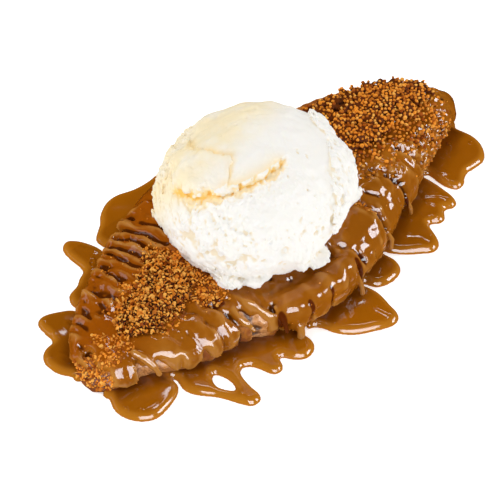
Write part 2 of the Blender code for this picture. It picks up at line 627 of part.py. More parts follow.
def make_ice_cream():
    """A rolled ball on a ring of melt, its underside clear of the sauce."""
    angles = np.arange(SPOKES) * 2 * math.pi / SPOKES

    def place(reach, lift):
        x = SCOOP[0] + reach * np.cos(angles)
        y = SCOOP[1] + reach * np.sin(angles)
        return np.stack([x, y, rest_height(x, y) + lift], 1)

    foot = np.full(SPOKES, SCOOP_RADIUS)
    for _ in range(FOOT_ROUNDS):
        foot = ball_reach(angles, place(foot, MELT)[:, 2] - SCOOP[2])
    melt = foot - MELT_INSET + melt_reach(angles)
    rows = [place(melt * share, 0.0) for share in UNDER_SHARES]
    rows.append(place(melt + MELT_BULGE, MELT_BELLY * MELT))
    rows.append(place(np.maximum(melt - MELT_SHOULDER, foot), MELT))
    low = place(foot, MELT)[:, 2] - SCOOP[2] + FOOT_RISE
    for share in np.linspace(0, 1, BALL_ROWS + 1)[:-1]:
        height = low + (SCOOP_RISE - low) * math.sin(share * math.pi / 2) ** ROW_CROWDING
        rows.append(ball_points(angles, ball_reach(angles, height), height))
    top = ball_points(np.zeros(1), np.zeros(1), np.array([SCOOP_RISE]))
    under = place(foot * 0, 0.0)[:1]
    vertices = np.concatenate([under, *rows, top])
    last = len(vertices) - 1
    faces = grid_faces(len(rows), SPOKES, 1)
    for j in range(SPOKES):
        k = (j + 1) % SPOKES
        faces.append((0, 1 + k, 1 + j))
        faces.append((last, last - SPOKES + j, last - SPOKES + k))
    return add_object("ice_cream", vertices, faces, "ice_cream")


clear_scene()
make_pastry()
make_coat()
make_pools()
make_heaps()
make_ice_cream()
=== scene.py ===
"""Looks of the croffle: poured sauce, flaky pastry, crumbs and scooped ice cream.

Every form is worked out as a field of distances round a CAD node of the frame, in
millimetres on a lattice, then given the folds, drips, grains and pits that the eye sees,
and meshed. Tables are millimetres; +X runs to the crumbed tip and +Y to the ribbed side.
"""

import itertools
import math

import bmesh
import bpy
import numpy as np
import openvdb
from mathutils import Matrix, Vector


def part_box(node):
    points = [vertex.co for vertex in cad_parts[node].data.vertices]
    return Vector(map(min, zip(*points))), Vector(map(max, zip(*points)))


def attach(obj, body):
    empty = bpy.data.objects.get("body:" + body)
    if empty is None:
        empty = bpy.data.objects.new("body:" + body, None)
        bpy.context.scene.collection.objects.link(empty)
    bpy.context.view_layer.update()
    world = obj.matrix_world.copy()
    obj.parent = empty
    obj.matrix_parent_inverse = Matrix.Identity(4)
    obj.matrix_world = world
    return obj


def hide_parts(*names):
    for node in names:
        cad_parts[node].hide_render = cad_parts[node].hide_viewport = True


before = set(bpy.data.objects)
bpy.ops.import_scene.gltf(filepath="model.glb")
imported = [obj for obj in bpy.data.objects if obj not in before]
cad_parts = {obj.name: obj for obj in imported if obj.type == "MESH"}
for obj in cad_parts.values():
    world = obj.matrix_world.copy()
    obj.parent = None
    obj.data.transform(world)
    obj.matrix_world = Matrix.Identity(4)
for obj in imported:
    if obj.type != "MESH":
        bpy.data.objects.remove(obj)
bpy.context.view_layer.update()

MM = 0.001                      # metres in a millimetre

# ---- camera and light -------------------------------------------------------------------
VIEW_AZIMUTH, VIEW_ELEVATION = -45.0, 45.0
VIEW_DISTANCE = 639.2
VIEW_TARGET = (-11.28, -10.34, 13.16)
VIEW_SHIFT = (-0.024, -0.008)   # share of the frame that the target lies off its middle
SENSOR, LENS = 36.0, 153.96     # mm
COOL_WHITE = (0.84, 0.92, 1.0)  # of the windows that the food mirrors
# Softboxes: direction, distance, size, power, and whether the food mirrors them or else is
# lit by them
LAMPS = {
    "key": ((0.75, -0.45, 0.5), 900, (240, 160), 1.5, False),
    "fill": ((-0.5, 0.15, 0.85), 900, (240, 160), 2.2, False),
    "window": ((0.5, -0.70, 0.42), 850, (440, 380), 13.0, True),
    "low_window": ((-0.5, -0.72, 0.45), 900, (760, 600), 29.0, True),
    "strip": ((0.36, 0.34, 0.87), 900, (300, 90), 1.4, True),
    "left_strip": ((-0.7, 0.7, 0.18), 900, (600, 110), 0.5, True),
}
FLOOR_REACH = 3.0               # half the floor's side in m

# ---- sizes ------------------------------------------------------------------------------
COAT_STEP, CREAM_STEP, CRUMB_STEP, POOL_STEP = 0.36, 0.3, 0.25, 0.3   # between lattice points
SAUCE = 1.45                    # thickness of the poured sauce over the pastry
BEAD = 1.3                      # how far in from its edge the sauce has that thickness
POOL_TOP, MENISCUS = 2.15, 2.3  # height of a pool, and how wide its rounded rim is
FOOT_REACH = 2.2                # how far a pool runs on under the pastry's overhang
FOOT_HEIGHT, FOOT_NEAR = 1.2, 1.8   # where the pastry's foot is taken, how near a pool joins it
SAUCE_SUNK = 0.5                # how far the sauce's underside lies within the crust

# Hem of the sauce on the near wall: x and height
NEAR_HEM = (
    (-79.0, 5.4), (-76.0, 4.0), (-72.0, 3.0), (-68.0, 3.6), (-66.2, 7.6), (-63.6, 7.8),
    (-61.4, 8.4), (-59.4, 5.6), (-57.6, 3.4), (-53.4, 2.8), (-50.8, 4.6), (-49.2, 8.0),
    (-47.8, 4.4), (-46.0, 3.2), (-44.4, 5.0), (-43.2, 3.4), (-40.6, 3.4), (-38.4, 5.2),
    (-36.8, 8.6), (-34.2, 9.6), (-32.4, 6.2), (-30.0, 4.2), (-28.4, 4.4), (-27.0, 4.4),
    (-26.4, 6.6), (-26.0, 6.4), (-25.6, 3.6), (-22.0, 2.8), (-19.0, 3.6), (-18.0, 8.8),
    (-17.2, 8.2), (-16.6, 4.0), (-12.0, 4.4), (-10.6, 4.6), (-10.0, 8.0), (-9.4, 7.6),
    (-8.6, 4.0), (-3.0, 3.2), (2.4, 2.8), (5.0, 3.4), (7.4, 6.6), (9.4, 4.0), (14.0, 3.0),
    (18.0, 4.2), (20.0, 7.0), (22.4, 3.8), (27.0, 3.0), (31.6, 4.4), (34.4, 7.4), (36.8, 4.2),
    (41.0, 3.2), (46.2, 5.2), (48.6, 7.2), (51.4, 4.4), (58.0, 4.2), (66.0, 5.0), (78.0, 6.0),
    (82.0, 6.0),
)
# Its far edge in plan: x and y
FAR_HEM = (
    (-80.0, 20.0), (20.0, 60.0), (26.0, 29.0), (31.0, 23.0), (40.0, 18.0), (50.0, 14.0),
    (60.0, 11.0), (70.0, 7.0), (82.0, 2.0),
)
# Places left bare: a line in plan and how far round it no sauce lies
BARE = (
    (((-66.8, -16.0), (-64.6, -18.6)), 1.5), (((-62.4, -19.6), (-57.4, -24.8)), 1.5),
    (((-80.4, -3.0), (-79.6, -8.0), (-77.0, -12.4)), 2.6), (((-75.2, -3.0), (-76.4, -7.4)), 1.0),
    (((-49.6, -26.2), (-48.8, -27.6)), 0.4),
    (((-33.8, -25.0), (-31.4, -30.0), (-30.6, -33.0)), 1.3),
)
# Strands and drips of sauce on the wall: points (x, y, z) and half width
DRIPS = (
    (((-66.2, -13.4, 11.0), (-64.8, -16.2, 9.6), (-63.6, -18.6, 7.4)), 1.1),
    (((-64.8, -16.2, 9.6), (-63.4, -19.0, 7.0), (-62.9, -20.2, 4.8)), 0.9),
    (((-35.6, -22.4, 12.6), (-35.5, -26.0, 11.0), (-33.6, -29.4, 7.6)), 0.6),
    (((-25.6, -30.4, 12.2), (-25.6, -33.6, 9.6), (-26.0, -35.4, 6.0)), 0.7),
    (((-21.6, -36.4, 6.0), (-21.8, -37.2, 3.6), (-22.0, -37.2, 1.6)), 1.2),
    (((3.0, -36.6, 8.0), (3.2, -38.0, 5.4), (3.2, -38.4, 2.8)), 0.8),
    (((22.6, -30.0, 9.0), (23.4, -31.6, 6.4), (22.8, -31.8, 3.6)), 0.8),
    (((38.0, -23.6, 9.0), (38.4, -25.6, 5.8), (38.6, -25.8, 3.4)), 0.7),
)

# Pleats: the pleat's edge towards the crumbed tip, from the rib side to the near side, how
# high it stands over the next, how far back it swells, and the slit's depth
PLEATS = (
    (((-66.0, 10.4), (-66.7, 6.0), (-67.3, 3.0)), 0.5, 2.4, 0.6),
    (((-59.6, 16.0), (-59.2, 10.5), (-59.3, 7.0), (-57.8, 2.0)), 1.7, 3.4, 2.3),
    (((-50.0, 21.0), (-51.4, 16.0), (-52.0, 10.6), (-52.6, 6.2), (-52.4, 1.5)), 1.5, 3.8, 2.3),
    (((-45.0, 24.0), (-45.5, 19.5), (-46.0, 14.0), (-46.2, 8.8), (-45.2, 4.0)), 1.1, 2.2, 2.2),
    (((-42.2, 26.0), (-42.0, 19.8), (-42.1, 15.5), (-42.5, 10.8), (-43.2, 3.0)), 1.3, 1.5, 2.6),
    (((-38.4, 27.6), (-38.6, 22.6), (-38.1, 17.0), (-38.8, 11.8), (-38.6, 7.0)), 1.2, 1.5, 2.6),
    (((-35.8, 28.6), (-35.3, 21.0), (-34.5, 16.6), (-34.8, 11.8), (-34.5, 6.0)), 1.3, 1.6, 2.8),
    (((-30.4, 31.0), (-31.3, 23.6), (-30.9, 18.6), (-30.0, 14.0), (-30.4, 9.0)), 1.2, 2.0, 2.8),
    (((-23.0, 31.0), (-22.6, 26.0), (-24.4, 22.0)), 0.5, 2.0, 1.2),
    (((-69.4, -9.6), (-70.6, -13.0), (-70.9, -16.5)), 0.3, 3.0, 0.5),
    (((-67.8, -13.0), (-67.4, -15.6), (-67.2, -18.0)), 0.6, 3.0, 0.5),
    (((-53.6, -14.0), (-52.5, -17.0), (-51.2, -20.4), (-50.2, -25.0), (-49.6, -30.0)),
      0.7, 3.0, 0.6),
    (((-45.6, -14.5), (-45.0, -17.5), (-44.5, -21.5), (-44.0, -25.6), (-42.8, -31.0)),
      1.1, 3.6, 0.5),
    (((-40.2, -15.5), (-39.2, -18.4), (-38.3, -22.6), (-37.1, -26.4), (-35.4, -31.0)),
      1.1, 3.4, 0.8),
    (((-34.4, -12.5), (-33.0, -18.4), (-30.9, -23.8), (-28.4, -28.2), (-26.0, -32.2)),
      0.9, 1.8, 0.4),
    (((-25.9, -28.6), (-26.0, -31.4), (-25.2, -34.0), (-24.4, -38.0)), 0.6, 2.5, 1.5),
    (((1.6, -26.0), (3.4, -29.8), (5.0, -32.4), (7.4, -36.0)), 0.8, 3.0, 1.0),
    (((18.9, -19.4), (19.3, -23.6), (20.6, -27.1), (22.6, -33.0)), 1.2, 4.2, 1.6),
    (((31.0, -15.0), (34.4, -19.4), (36.4, -22.2), (38.0, -27.0)), 1.2, 4.5, 1.6),
    (((44.8, -12.0), (46.4, -16.4), (48.6, -19.0), (51.4, -23.5)), 0.9, 3.0, 0.9),
)
# Short dents and pinholes: points in plan, half width, depth
DENTS = (
    (((-74.4, 0.6), (-74.3, -3.8)), 0.9, 1.6), (((-66.2, 8.0), (-67.0, 4.6)), 0.35, 0.8),
    (((-60.8, -8.4), (-60.6, -8.8)), 0.7, 2.0), (((-37.8, -22.6), (-37.7, -23.2)), 0.6, 1.6),
    (((-39.8, -17.6), (-39.5, -18.0)), 0.7, 1.6), (((-36.9, -18.4), (-36.7, -18.8)), 0.7, 1.6),
    (((-25.9, -29.2), (-25.9, -30.0)), 0.7, 2.0), (((-20.9, -21.6), (-20.4, -22.6)), 1.0, 1.8),
    (((-15.8, -26.5), (-15.7, -26.7)), 0.4, 1.2), (((0.3, -31.0), (1.2, -32.8)), 0.9, 2.0),
    (((6.8, -33.8), (7.1, -34.4)), 0.6, 1.6), (((4.4, -35.0), (4.8, -35.8)), 0.5, 1.4),
    (((23.8, -19.4), (25.2, -21.3), (26.4, -22.5)), 0.5, 1.6),
    (((-54.2, -18.8), (-54.8, -21.6)), 0.5, 0.4),
    (((45.0, -13.2), (46.4, -16.6), (47.6, -18.0)), 1.1, 1.3),
    (((67.6, 2.4), (65.6, -1.4), (62.6, -4.6)), 0.8, 1.3),
    (((69.8, 1.4), (69.0, -2.8)), 1.0, 2.0), (((60.4, 1.2), (59.6, -1.8)), 1.0, 2.2),
    (((39.4, 6.8), (43.8, 8.4), (46.6, 7.2)), 0.9, 1.8),
    (((68.4, -5.6), (68.9, -9.4), (66.4, -13.2)), 0.6, 1.2),
    (((75.0, -5.8), (76.2, -9.4)), 0.5, 1.0), (((29.4, -12.2), (31.0, -16.0)), 0.8, 0.9),
)
# The roll along the near wall: points, half width and how lumpy it is
ROLL = (
    (-22.4, -32.2, 10.2), (-19.4, -33.3, 10.8), (-17.4, -34.2, 10.7), (-15.6, -33.6, 11.7),
    (-12.2, -34.7, 11.3), (-9.2, -34.1, 12.1), (-5.4, -34.7, 11.5), (-2.4, -33.8, 12.3),
    (0.5, -33.4, 12.0),
)
ROLL_WIDTH, ROLL_LUMPS = 3.9, 0.28
# Rounded rolls and swellings: points in plan, half width, height (a hollow is negative)
ROLLS = (
    (((-22.0, -30.0), (-17.6, -31.6), (-10.0, -32.4), (-2.0, -33.2)), 0.8, 0.4),
    (((-22.0, -25.8), (-16.0, -28.0), (-8.0, -29.4), (-1.0, -29.8)), 2.4, -0.8),
    (((-35.2, -22.0), (-35.2, -26.0), (-33.0, -30.0)), 0.7, 0.5),
    (((-31.4, -21.0), (-29.6, -26.4), (-27.6, -30.6)), 1.5, 0.6),
    (((-66.0, -13.6), (-64.8, -16.8), (-63.4, -19.4)), 0.9, 0.7),
    (((-21.4, -22.6), (-20.6, -25.0), (-21.6, -28.0)), 0.6, 0.35),
    (((1.4, -29.4), (0.2, -33.6), (-3.0, -36.4)), 0.6, 0.6),
    (((2.6, -33.0), (3.2, -37.0)), 1.2, 0.5),
    (((15.6, -22.4), (17.6, -25.6), (18.0, -30.0), (17.0, -33.4)), 0.8, 0.5),
    (((23.0, -17.2), (28.6, -17.8), (32.6, -20.4), (34.6, -23.0)), 0.9, 0.5),
    (((39.6, -19.6), (42.4, -21.4), (44.6, -23.0)), 1.5, 0.9),
    (((44.6, -10.8), (47.0, -12.4), (49.4, -15.2), (51.6, -18.4)), 1.0, 1.3),
    (((-72.0, 8.4), (-66.4, 11.6), (-58.0, 16.2), (-50.0, 20.6), (-42.0, 25.8), (-34.0, 29.6)),
      1.5, 0.7),
    (((-32.0, 30.6), (-27.4, 28.6), (-24.0, 27.0)), 0.8, 0.9),
    (((-50.9, 17.4), (-51.4, 14.4)), 0.6, 1.0),
    (((40.0, 22.0), (47.0, 19.6), (56.0, 16.6), (64.0, 12.6)), 1.4, 0.5),
    (((71.0, 4.0), (73.6, -1.0), (74.0, -7.0)), 1.4, 0.8),
)
RIBS_SOFT, RIBS_SWELL = 2.2, 1.1   # how far the CAD's straight ribs are smoothed and swollen
# Where the pastry's pale layers show: points in plan and reach
FLAKY = (
    (((-66.6, -16.6), (-63.0, -19.6), (-57.0, -24.4), (-54.0, -27.0)), 2.0),
    (((-34.4, -24.0), (-31.6, -29.0), (-30.4, -33.0)), 1.7),
)
# Where sauce is dark red and clear over the crust: points in plan and reach
CLEAR = (
    (((-49.6, -26.2), (-48.8, -27.6)), 1.0), (((-26.3, -33.0), (-25.9, -37.0)), 0.8),
    (((-17.8, -36.8), (-17.4, -39.5)), 0.7), (((-10.0, -38.0), (-9.8, -40.4)), 0.6),
    (((33.4, -19.4), (36.2, -20.8), (37.4, -24.4)), 1.0), (((-39.6, -16.8), (-37.0, -18.6)), 1.5),
    (((6.6, -33.6), (7.2, -34.8)), 0.9), (((4.4, -34.8), (4.8, -36.0)), 0.9),
)
# Loose crumbs off the heaps: points in plan, reach, how many
STRAYS = (
    (((-80.4, -0.5), (-80.0, -6.0), (-78.4, -11.0), (-77.0, -13.0)), 2.4, 210),
    (((-70.0, -2.5), (-69.4, -7.0), (-71.4, -10.6)), 2.4, 70),
    (((-66.4, -6.6), (-65.8, -10.4)), 1.8, 46), (((-75.6, -5.0), (-76.6, -10.4)), 1.8, 50),
    (((-73.6, -8.0), (-73.0, -10.6)), 1.4, 14), (((-33.0, -15.0), (-34.0, -18.5)), 1.6, 18),
    (((-41.0, -14.6), (-37.0, -17.2)), 1.6, 30),
    (((-47.0, 3.6), (-42.0, 6.0), (-38.0, 10.5)), 2.2, 60),
    (((-62.0, 2.0), (-55.0, 3.5), (-50.0, 2.5)), 1.6, 40),
    (((-52.6, 7.0), (-52.4, 3.0)), 0.8, 14), (((-51.6, 14.0), (-51.2, 17.0)), 0.8, 8),
    (((18.0, -19.0), (20.5, -26.0)), 1.3, 30), (((-55.0, -14.4), (-48.0, -14.6)), 1.5, 30),
)
# How far the front crumbs reach in plan, thin at their edge
FRONT_REACH = (
    (-63.8, -1.3), (-63.2, -5.7), (-63.1, -8.4), (-59.6, -10.6), (-56.4, -13.0), (-53.2, -13.5),
    (-50.7, -14.4), (-48.4, -14.1), (-45.0, -12.5), (-41.8, -14.7), (-40.0, -16.6), (-37.3, -16.8),
    (-33.5, -16.8), (-31.3, -14.0), (-30.8, -10.0), (-31.6, -4.0), (-33.0, 1.0), (-35.6, 7.0),
    (-38.0, 10.0), (-41.0, 6.4), (-43.4, 2.2), (-46.1, 3.0), (-49.2, 1.4), (-51.8, -1.5),
    (-54.6, 0.1), (-58.1, 2.1), (-60.6, 1.5),
)
# How far the rear crumbs reach in plan
REAR_REACH = (
    (16.0, -11.0), (29.8, -11.5), (32.9, -11.3), (38.2, -14.1), (43.7, -10.4), (45.8, -13.1),
    (51.6, -14.8), (54.9, -15.6), (64.8, -12.2), (67.7, -8.6), (69.9, -2.4), (66.0, 4.0),
    (60.5, 8.8), (57.7, 11.9), (50.6, 11.9), (44.7, 9.4), (40.0, 9.0), (34.0, 6.0), (26.0, 4.0),
    (18.0, 2.0),
)
# Crumbs under the sauce of the rear part, as bumps: points in plan, reach, half height
GRITTY = (
    (((52.0, -16.0), (60.0, -15.4), (68.0, -13.0)), 3.4, 0.4),
    (((30.0, -14.4), (35.0, -16.6), (39.0, -18.4)), 3.0, 0.28),
    (((72.0, -8.0), (76.0, 0.0), (70.0, 6.0)), 3.2, 0.3),
    (((36.0, 17.0), (50.0, 15.0), (62.0, 10.0)), 3.0, 0.3),
)
DUST = 330                      # crumbs and bubbles fine as dust over all the sauce
SCOOP_CLEAR = 26.0              # no rear crumbs lie nearer than this to the scoop's middle
# Heaps: width and height of the grains that show in them, and how dark their gaps are
# painted as shade
HEAPS = {"crumbs_front": (1.1, 0.45, 0.75), "crumbs_rear": (1.6, 0.35, 0.6)}
# Layers of loose front crumbs: spacing, half sizes, lift and tone
FRONT_LAYERS = ((0.66, (0.28, 0.5), 0.0, 0.35), (0.95, (0.35, 0.7), 0.5, 0.85))

# Ice cream. The fold: the dome's lip over the lower part, to its left in plan
FOLD = (
    (-31.6, 8.0, 39.4), (-32.7, 3.7, 40.7), (-32.7, 0.5, 41.7), (-32.3, -2.6, 42.3),
    (-32.0, -4.7, 42.9), (-30.2, -7.0, 44.4), (-28.9, -9.7, 45.2), (-27.1, -10.7, 46.4),
    (-26.0, -10.9, 47.3), (-24.2, -13.1, 47.5), (-20.8, -15.0, 48.5), (-16.9, -16.5, 49.5),
    (-12.0, -16.9, 50.4), (-4.8, -15.9, 50.9),
)
# Edge of the flap over its right side, the flap to its left in plan
FLAP = (
    (16.0, -3.0, 45.0), (11.2, -9.2, 48.0), (10.6, -14.1, 46.9), (6.5, -19.9, 46.7),
    (3.1, -24.4, 45.3), (-0.5, -28.5, 42.5), (-1.8, -31.2, 38.6), (-4.8, -32.9, 33.8),
)
# Edge of the small lump on its left, along which the cream is painted yellow as shade
LUMP_EDGE = (
    (-17.7, 13.0, 45.1), (-20.6, 9.7, 46.6), (-22.3, 6.4, 47.7), (-21.9, 3.6, 48.9),
    (-20.8, -0.8, 50.3), (-19.4, -5.2, 51.2), (-20.2, -7.2, 51.1), (-23.1, -9.0, 49.8),
    (-25.6, -10.7, 47.7),
)
# Other creases: points, half width, depth, and how much its left side stands over its right
CREAM_CREASES = (
    (((-25.2, 16.3, 39.3), (-29.9, 11.7, 38.7), (-33.7, 6.6, 36.7), (-36.4, 1.5, 34.0),
      (-37.8, -4.1, 31.5), (-37.6, -9.4, 29.0), (-36.3, -14.9, 27.5), (-33.8, -19.2, 26.1)),
      0.6, 0.5, 0.5),
    (((-27.8, 11.6, 41.4), (-31.5, 8.2, 39.5), (-34.3, 4.3, 37.3), (-36.7, -1.0, 34.6),
      (-37.6, -6.0, 31.9), (-37.2, -11.7, 29.6), (-35.5, -16.8, 27.9), (-32.6, -21.4, 27.5),
      (-28.8, -25.7, 28.5)), 0.6, 0.6, 0.6),
    (((-33.8, 3.7, 38.8), (-36.0, 0.1, 36.0), (-37.2, -4.7, 33.5), (-37.3, -9.6, 31.6),
      (-36.1, -15.1, 29.2), (-33.8, -19.6, 28.1), (-30.1, -24.4, 28.9), (-27.1, -27.4, 30.2)),
      0.6, 0.5, 0.5),
    (((-27.4, 15.1, 38.2), (-30.8, 12.3, 36.3), (-34.0, 8.2, 34.5), (-36.6, 3.1, 31.7),
      (-37.6, -1.1, 29.9), (-37.6, -7.0, 27.6)), 0.6, 0.6, 0.6),
    (((-29.5, -19.7, 39.9), (-28.0, -22.3, 39.3), (-27.9, -24.4, 36.7), (-28.8, -25.0, 33.8),
      (-30.5, -24.0, 30.9)), 0.8, 0.7, -0.4),
    (((-31.8, -19.4, 36.6), (-29.8, -21.4, 37.9), (-28.8, -23.7, 36.2), (-29.5, -24.4, 33.2),
      (-31.1, -23.3, 31.1)), 0.5, 0.5, 0.3),
    (((-32.2, -21.1, 32.8), (-31.6, -21.1, 35.0), (-30.2, -22.4, 35.6), (-30.1, -23.6, 33.7),
      (-31.2, -22.8, 31.9)), 0.45, 0.4, 0.2),
    (((-33.3, -16.1, 37.3), (-33.1, -19.2, 34.1), (-32.6, -21.4, 30.5), (-30.8, -23.7, 29.5)),
      0.6, 0.5, 0.3),
    (((-5.4, -32.8, 34.9), (-10.6, -33.2, 33.5), (-15.6, -32.7, 32.5)), 0.6, 0.4, -0.5),
    (((0.7, -30.6, 38.6), (-2.7, -32.2, 36.0), (-7.8, -33.1, 34.7), (-13.8, -32.9, 33.5)),
      0.5, 0.35, -0.3),
    (((-3.6, -30.2, 41.2), (-6.6, -31.9, 38.5), (-11.0, -32.2, 37.7), (-14.5, -31.6, 37.8)),
      0.5, 0.3, -0.3),
    (LUMP_EDGE, 1.3, 0.3, -1.5),
    (((-22.9, 8.9, 46.3), (-26.3, 10.2, 43.8), (-29.3, 8.6, 42.3), (-31.7, 5.4, 41.3),
      (-32.6, 1.7, 41.7)), 1.0, 0.6, 1.2),
    (((-27.5, 11.2, 42.1), (-25.7, 13.6, 41.7), (-23.7, 14.2, 42.6), (-22.0, 12.7, 44.2),
      (-22.0, 9.5, 46.2), (-23.6, 5.7, 47.5), (-24.4, 4.4, 47.5)), 0.6, 0.7, 0.0),
    (((-28.9, 9.0, 42.5), (-31.0, 5.7, 42.1), (-32.6, 3.8, 40.8)), 0.7, 0.6, 0.6),
    (((-32.1, -5.5, 42.5), (-34.8, -4.7, 39.1), (-36.3, -5.5, 36.0), (-37.1, -6.9, 33.6)),
      0.8, 0.7, -0.5),
    (((-21.0, 10.5, 45.9), (-16.1, 12.5, 45.7), (-12.0, 11.8, 47.5), (-7.7, 9.2, 49.7),
      (-2.1, 6.3, 50.6), (3.8, 2.8, 50.4), (9.3, -0.7, 48.9)), 0.6, 0.4, -0.3),
    (((-20.8, 5.5, 48.7), (-15.2, 5.7, 50.2), (-9.7, 4.4, 51.4), (-3.4, 2.5, 51.9),
      (2.8, -1.0, 51.5)), 0.5, 0.25, -0.3),
)
# Its pits
PIT = (0.5, -1.0)               # half width and height
CREAM_PITS = (
    (-9.1, 2.5, 51.9), (-5.4, 2.2, 52.0), (-7.4, 2.2, 52.0), (-16.3, 0.4, 51.3),
    (-14.4, 3.0, 51.1), (-20.1, -7.2, 51.1), (-26.5, 6.8, 45.5), (-24.0, 0.6, 48.7),
    (-23.8, 5.4, 47.5), (-13.2, 2.4, 51.4), (-3.0, -16.6, 50.6), (-1.6, -18.8, 49.7),
    (-13.6, -27.2, 44.2), (-8.3, -25.6, 46.2), (-7.2, -27.8, 44.5), (-15.8, -31.9, 36.2),
    (-19.7, -29.1, 39.0), (-24.3, -29.2, 33.2), (-15.1, -29.9, 40.4), (-9.1, -33.1, 34.4),
    (-35.6, -7.6, 36.8), (-36.9, -8.0, 33.6),
)
# Its lumps: middle, half width, height (a hollow is negative)
CREAM_LUMPS = (
    ((-14.0, -6.6, 52.4), 5.0, 0.5), ((-30.5, 13.4, 38.0), 3.4, 0.8),
    ((-19.2, 14.6, 43.4), 2.6, -2.0), ((-24.5, 15.6, 41.4), 1.6, -1.0),
    ((-14.5, -31.6, 37.0), 3.4, 0.7), ((5.6, -23.8, 43.8), 4.0, 0.6),
    ((3.4, -29.0, 37.0), 4.0, 0.8), ((11.0, -17.0, 44.6), 4.0, 0.6),
    ((-34.4, -13.0, 33.0), 4.0, 0.6), ((-24.0, -25.6, 38.6), 3.4, 0.6),
    ((-21.6, -30.8, 30.8), 1.8, -1.4), ((-22.0, -29.6, 25.6), 2.4, -1.6),
)
# The small lump on its left, then the ragged lumps of its foot: middle and half sizes
SKIRT = (
    ((-21.5, -2.0, 42.1), (11.0, 12.0, 8.0)), ((-25.2, 9.2, 44.4), (2.8, 2.6, 2.2)),
    ((-23.4, 1.4, 49.4), (1.5, 1.5, 1.3)), ((-32.0, -18.6, 19.0), (3.0, 4.2, 1.9)),
    ((-27.6, -22.8, 19.6), (2.6, 2.6, 1.7)), ((-24.0, -24.6, 20.4), (2.0, 1.6, 1.5)),
    ((-18.8, -25.4, 20.4), (1.8, 1.6, 1.6)), ((-14.2, -28.4, 20.6), (2.2, 3.0, 2.4)),
    ((-7.4, -28.8, 19.4), (4.4, 4.0, 1.7)), ((16.4, -20.6, 21.4), (4.2, 2.2, 2.6)),
    ((-29.2, 15.0, 22.0), (2.4, 3.0, 2.4)), ((-17.4, -31.2, 30.4), (2.4, 2.0, 3.0)),
    ((-15.4, -31.2, 27.0), (2.2, 2.0, 3.6)),
)
PILLOW = ((-27.6, -3.4, 46.8), 5.0)   # a torn swelling over its fold: middle, half width
CREAM_MIDDLE = (-8.2, -4.0, 29.5)
SCOOP_FACE = (-45.0, 45.0)      # azimuth and elevation that its torn, combed face looks to
FOLD_LIP, FOLD_DROP = (1.9, 7.0), (0.9, 3.0)  # height at the fold, how far it runs out
COMBED = 1.9                    # spacing of the lines that the scoop combed into it

# Sauce on the table. Ridges where two flows met: points in plan
RIDGES = (
    ((-43.4, 36.7), (-41.1, 32.0)), ((-47.5, 31.7), (-47.9, 28.5)),
    ((-71.9, 17.4), (-73.0, 13.5)), ((-67.5, 15.3), (-67.2, 12.1)), ((-76.6, 7.6), (-75.5, 3.6)),
    ((-77.8, 5.4), (-77.4, 2.8)), ((-72.8, -25.6), (-69.9, -25.8)),
    ((-55.0, -35.9), (-52.3, -46.5)), ((-48.0, -36.4), (-49.8, -41.1)),
    ((-42.0, -33.7), (-41.1, -36.8)), ((-39.4, -36.8), (-38.7, -43.0)),
    ((-30.8, -38.9), (-29.2, -42.6)), ((2.4, -45.4), (3.7, -51.9)), ((-4.6, -49.9), (0.0, -52.2)),
    ((-12.7, -43.4), (-12.5, -44.8)), ((48.3, -23.0), (51.9, -26.1), (53.1, -29.2)),
    ((47.3, -25.2), (47.6, -27.5)), ((31.6, -31.0), (34.2, -33.6), (34.8, -37.2)),
    ((27.1, -35.1), (29.2, -36.5)), ((30.9, -37.0), (32.1, -38.8)),
    ((60.1, -19.3), (61.0, -21.0)),
)
# Bubbles in it: points in plan
BUBBLES = (
    (-46.8, 38.5), (-38.7, 38.4), (-71.6, 21.4), (-80.0, 9.0), (-81.7, 1.8), (-72.8, 15.1),
    (-74.6, -24.6), (-77.4, -21.3), (-75.0, -28.4), (77.5, -16.7), (6.0, -50.5), (-27.5, -41.0),
    (44.0, -31.5), (72.0, -12.0), (58.5, -23.5), (37.5, -36.0), (-54.0, 33.0),
)
RIDGE, BUBBLE = (0.26, 0.85), (0.45, 0.8)   # their heights and half widths
RING = (-45.1, 28.9)            # a burst bubble's ring, drawn out along the diagonal
RING_LENGTH, RING_SLIMNESS = 2.6, 2.2

PASTRY, GLAZE, CRUMB, CREAM = "pastry", "sauce", "crumb", "ice_cream"


# ---- lattices and fields ----------------------------------------------------------------
class Lattice:
    """Points of a box, voxel apart, on whole voxels of the frame."""

    def __init__(self, low, high, voxel):
        self.voxel = voxel
        self.start = [math.floor(a / voxel) for a in low]
        self.count = [math.ceil(b / voxel) - s + 1 for b, s in zip(high, self.start)]
        lines = [(np.arange(n) + s) * voxel for n, s in zip(self.count, self.start)]
        self.lines = [line.astype(np.float32) for line in lines]
        self.x = self.lines[0][:, None, None]
        self.y = self.lines[1][None, :, None]
        self.z = self.lines[2][None, None, :]
        self.place = self.x, self.y, self.z

    def places(self, points):
        """Where points lie, in steps of the lattice."""
        return np.asarray(points, np.float32) / self.voxel - np.array(self.start, np.float32)


def lattice_round(nodes, voxel, margin):
    """A lattice round CAD nodes with a margin in mm."""
    boxes = [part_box(node) for node in nodes]
    low = np.min([np.array(b[0]) / MM for b in boxes], 0) - margin
    high = np.max([np.array(b[1]) / MM for b in boxes], 0) + margin
    return Lattice(low, high, voxel)


def node_mesh(name):
    """A CAD node's vertices in mm and its triangles."""
    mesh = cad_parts[name].data
    points = np.zeros(len(mesh.vertices) * 3, np.float32)
    mesh.vertices.foreach_get("co", points)
    mesh.calc_loop_triangles()
    triangles = np.zeros(len(mesh.loop_triangles) * 3, np.int32)
    mesh.loop_triangles.foreach_get("vertices", triangles)
    return points.reshape(-1, 3) / MM, triangles.reshape(-1, 3).astype(np.uint32)


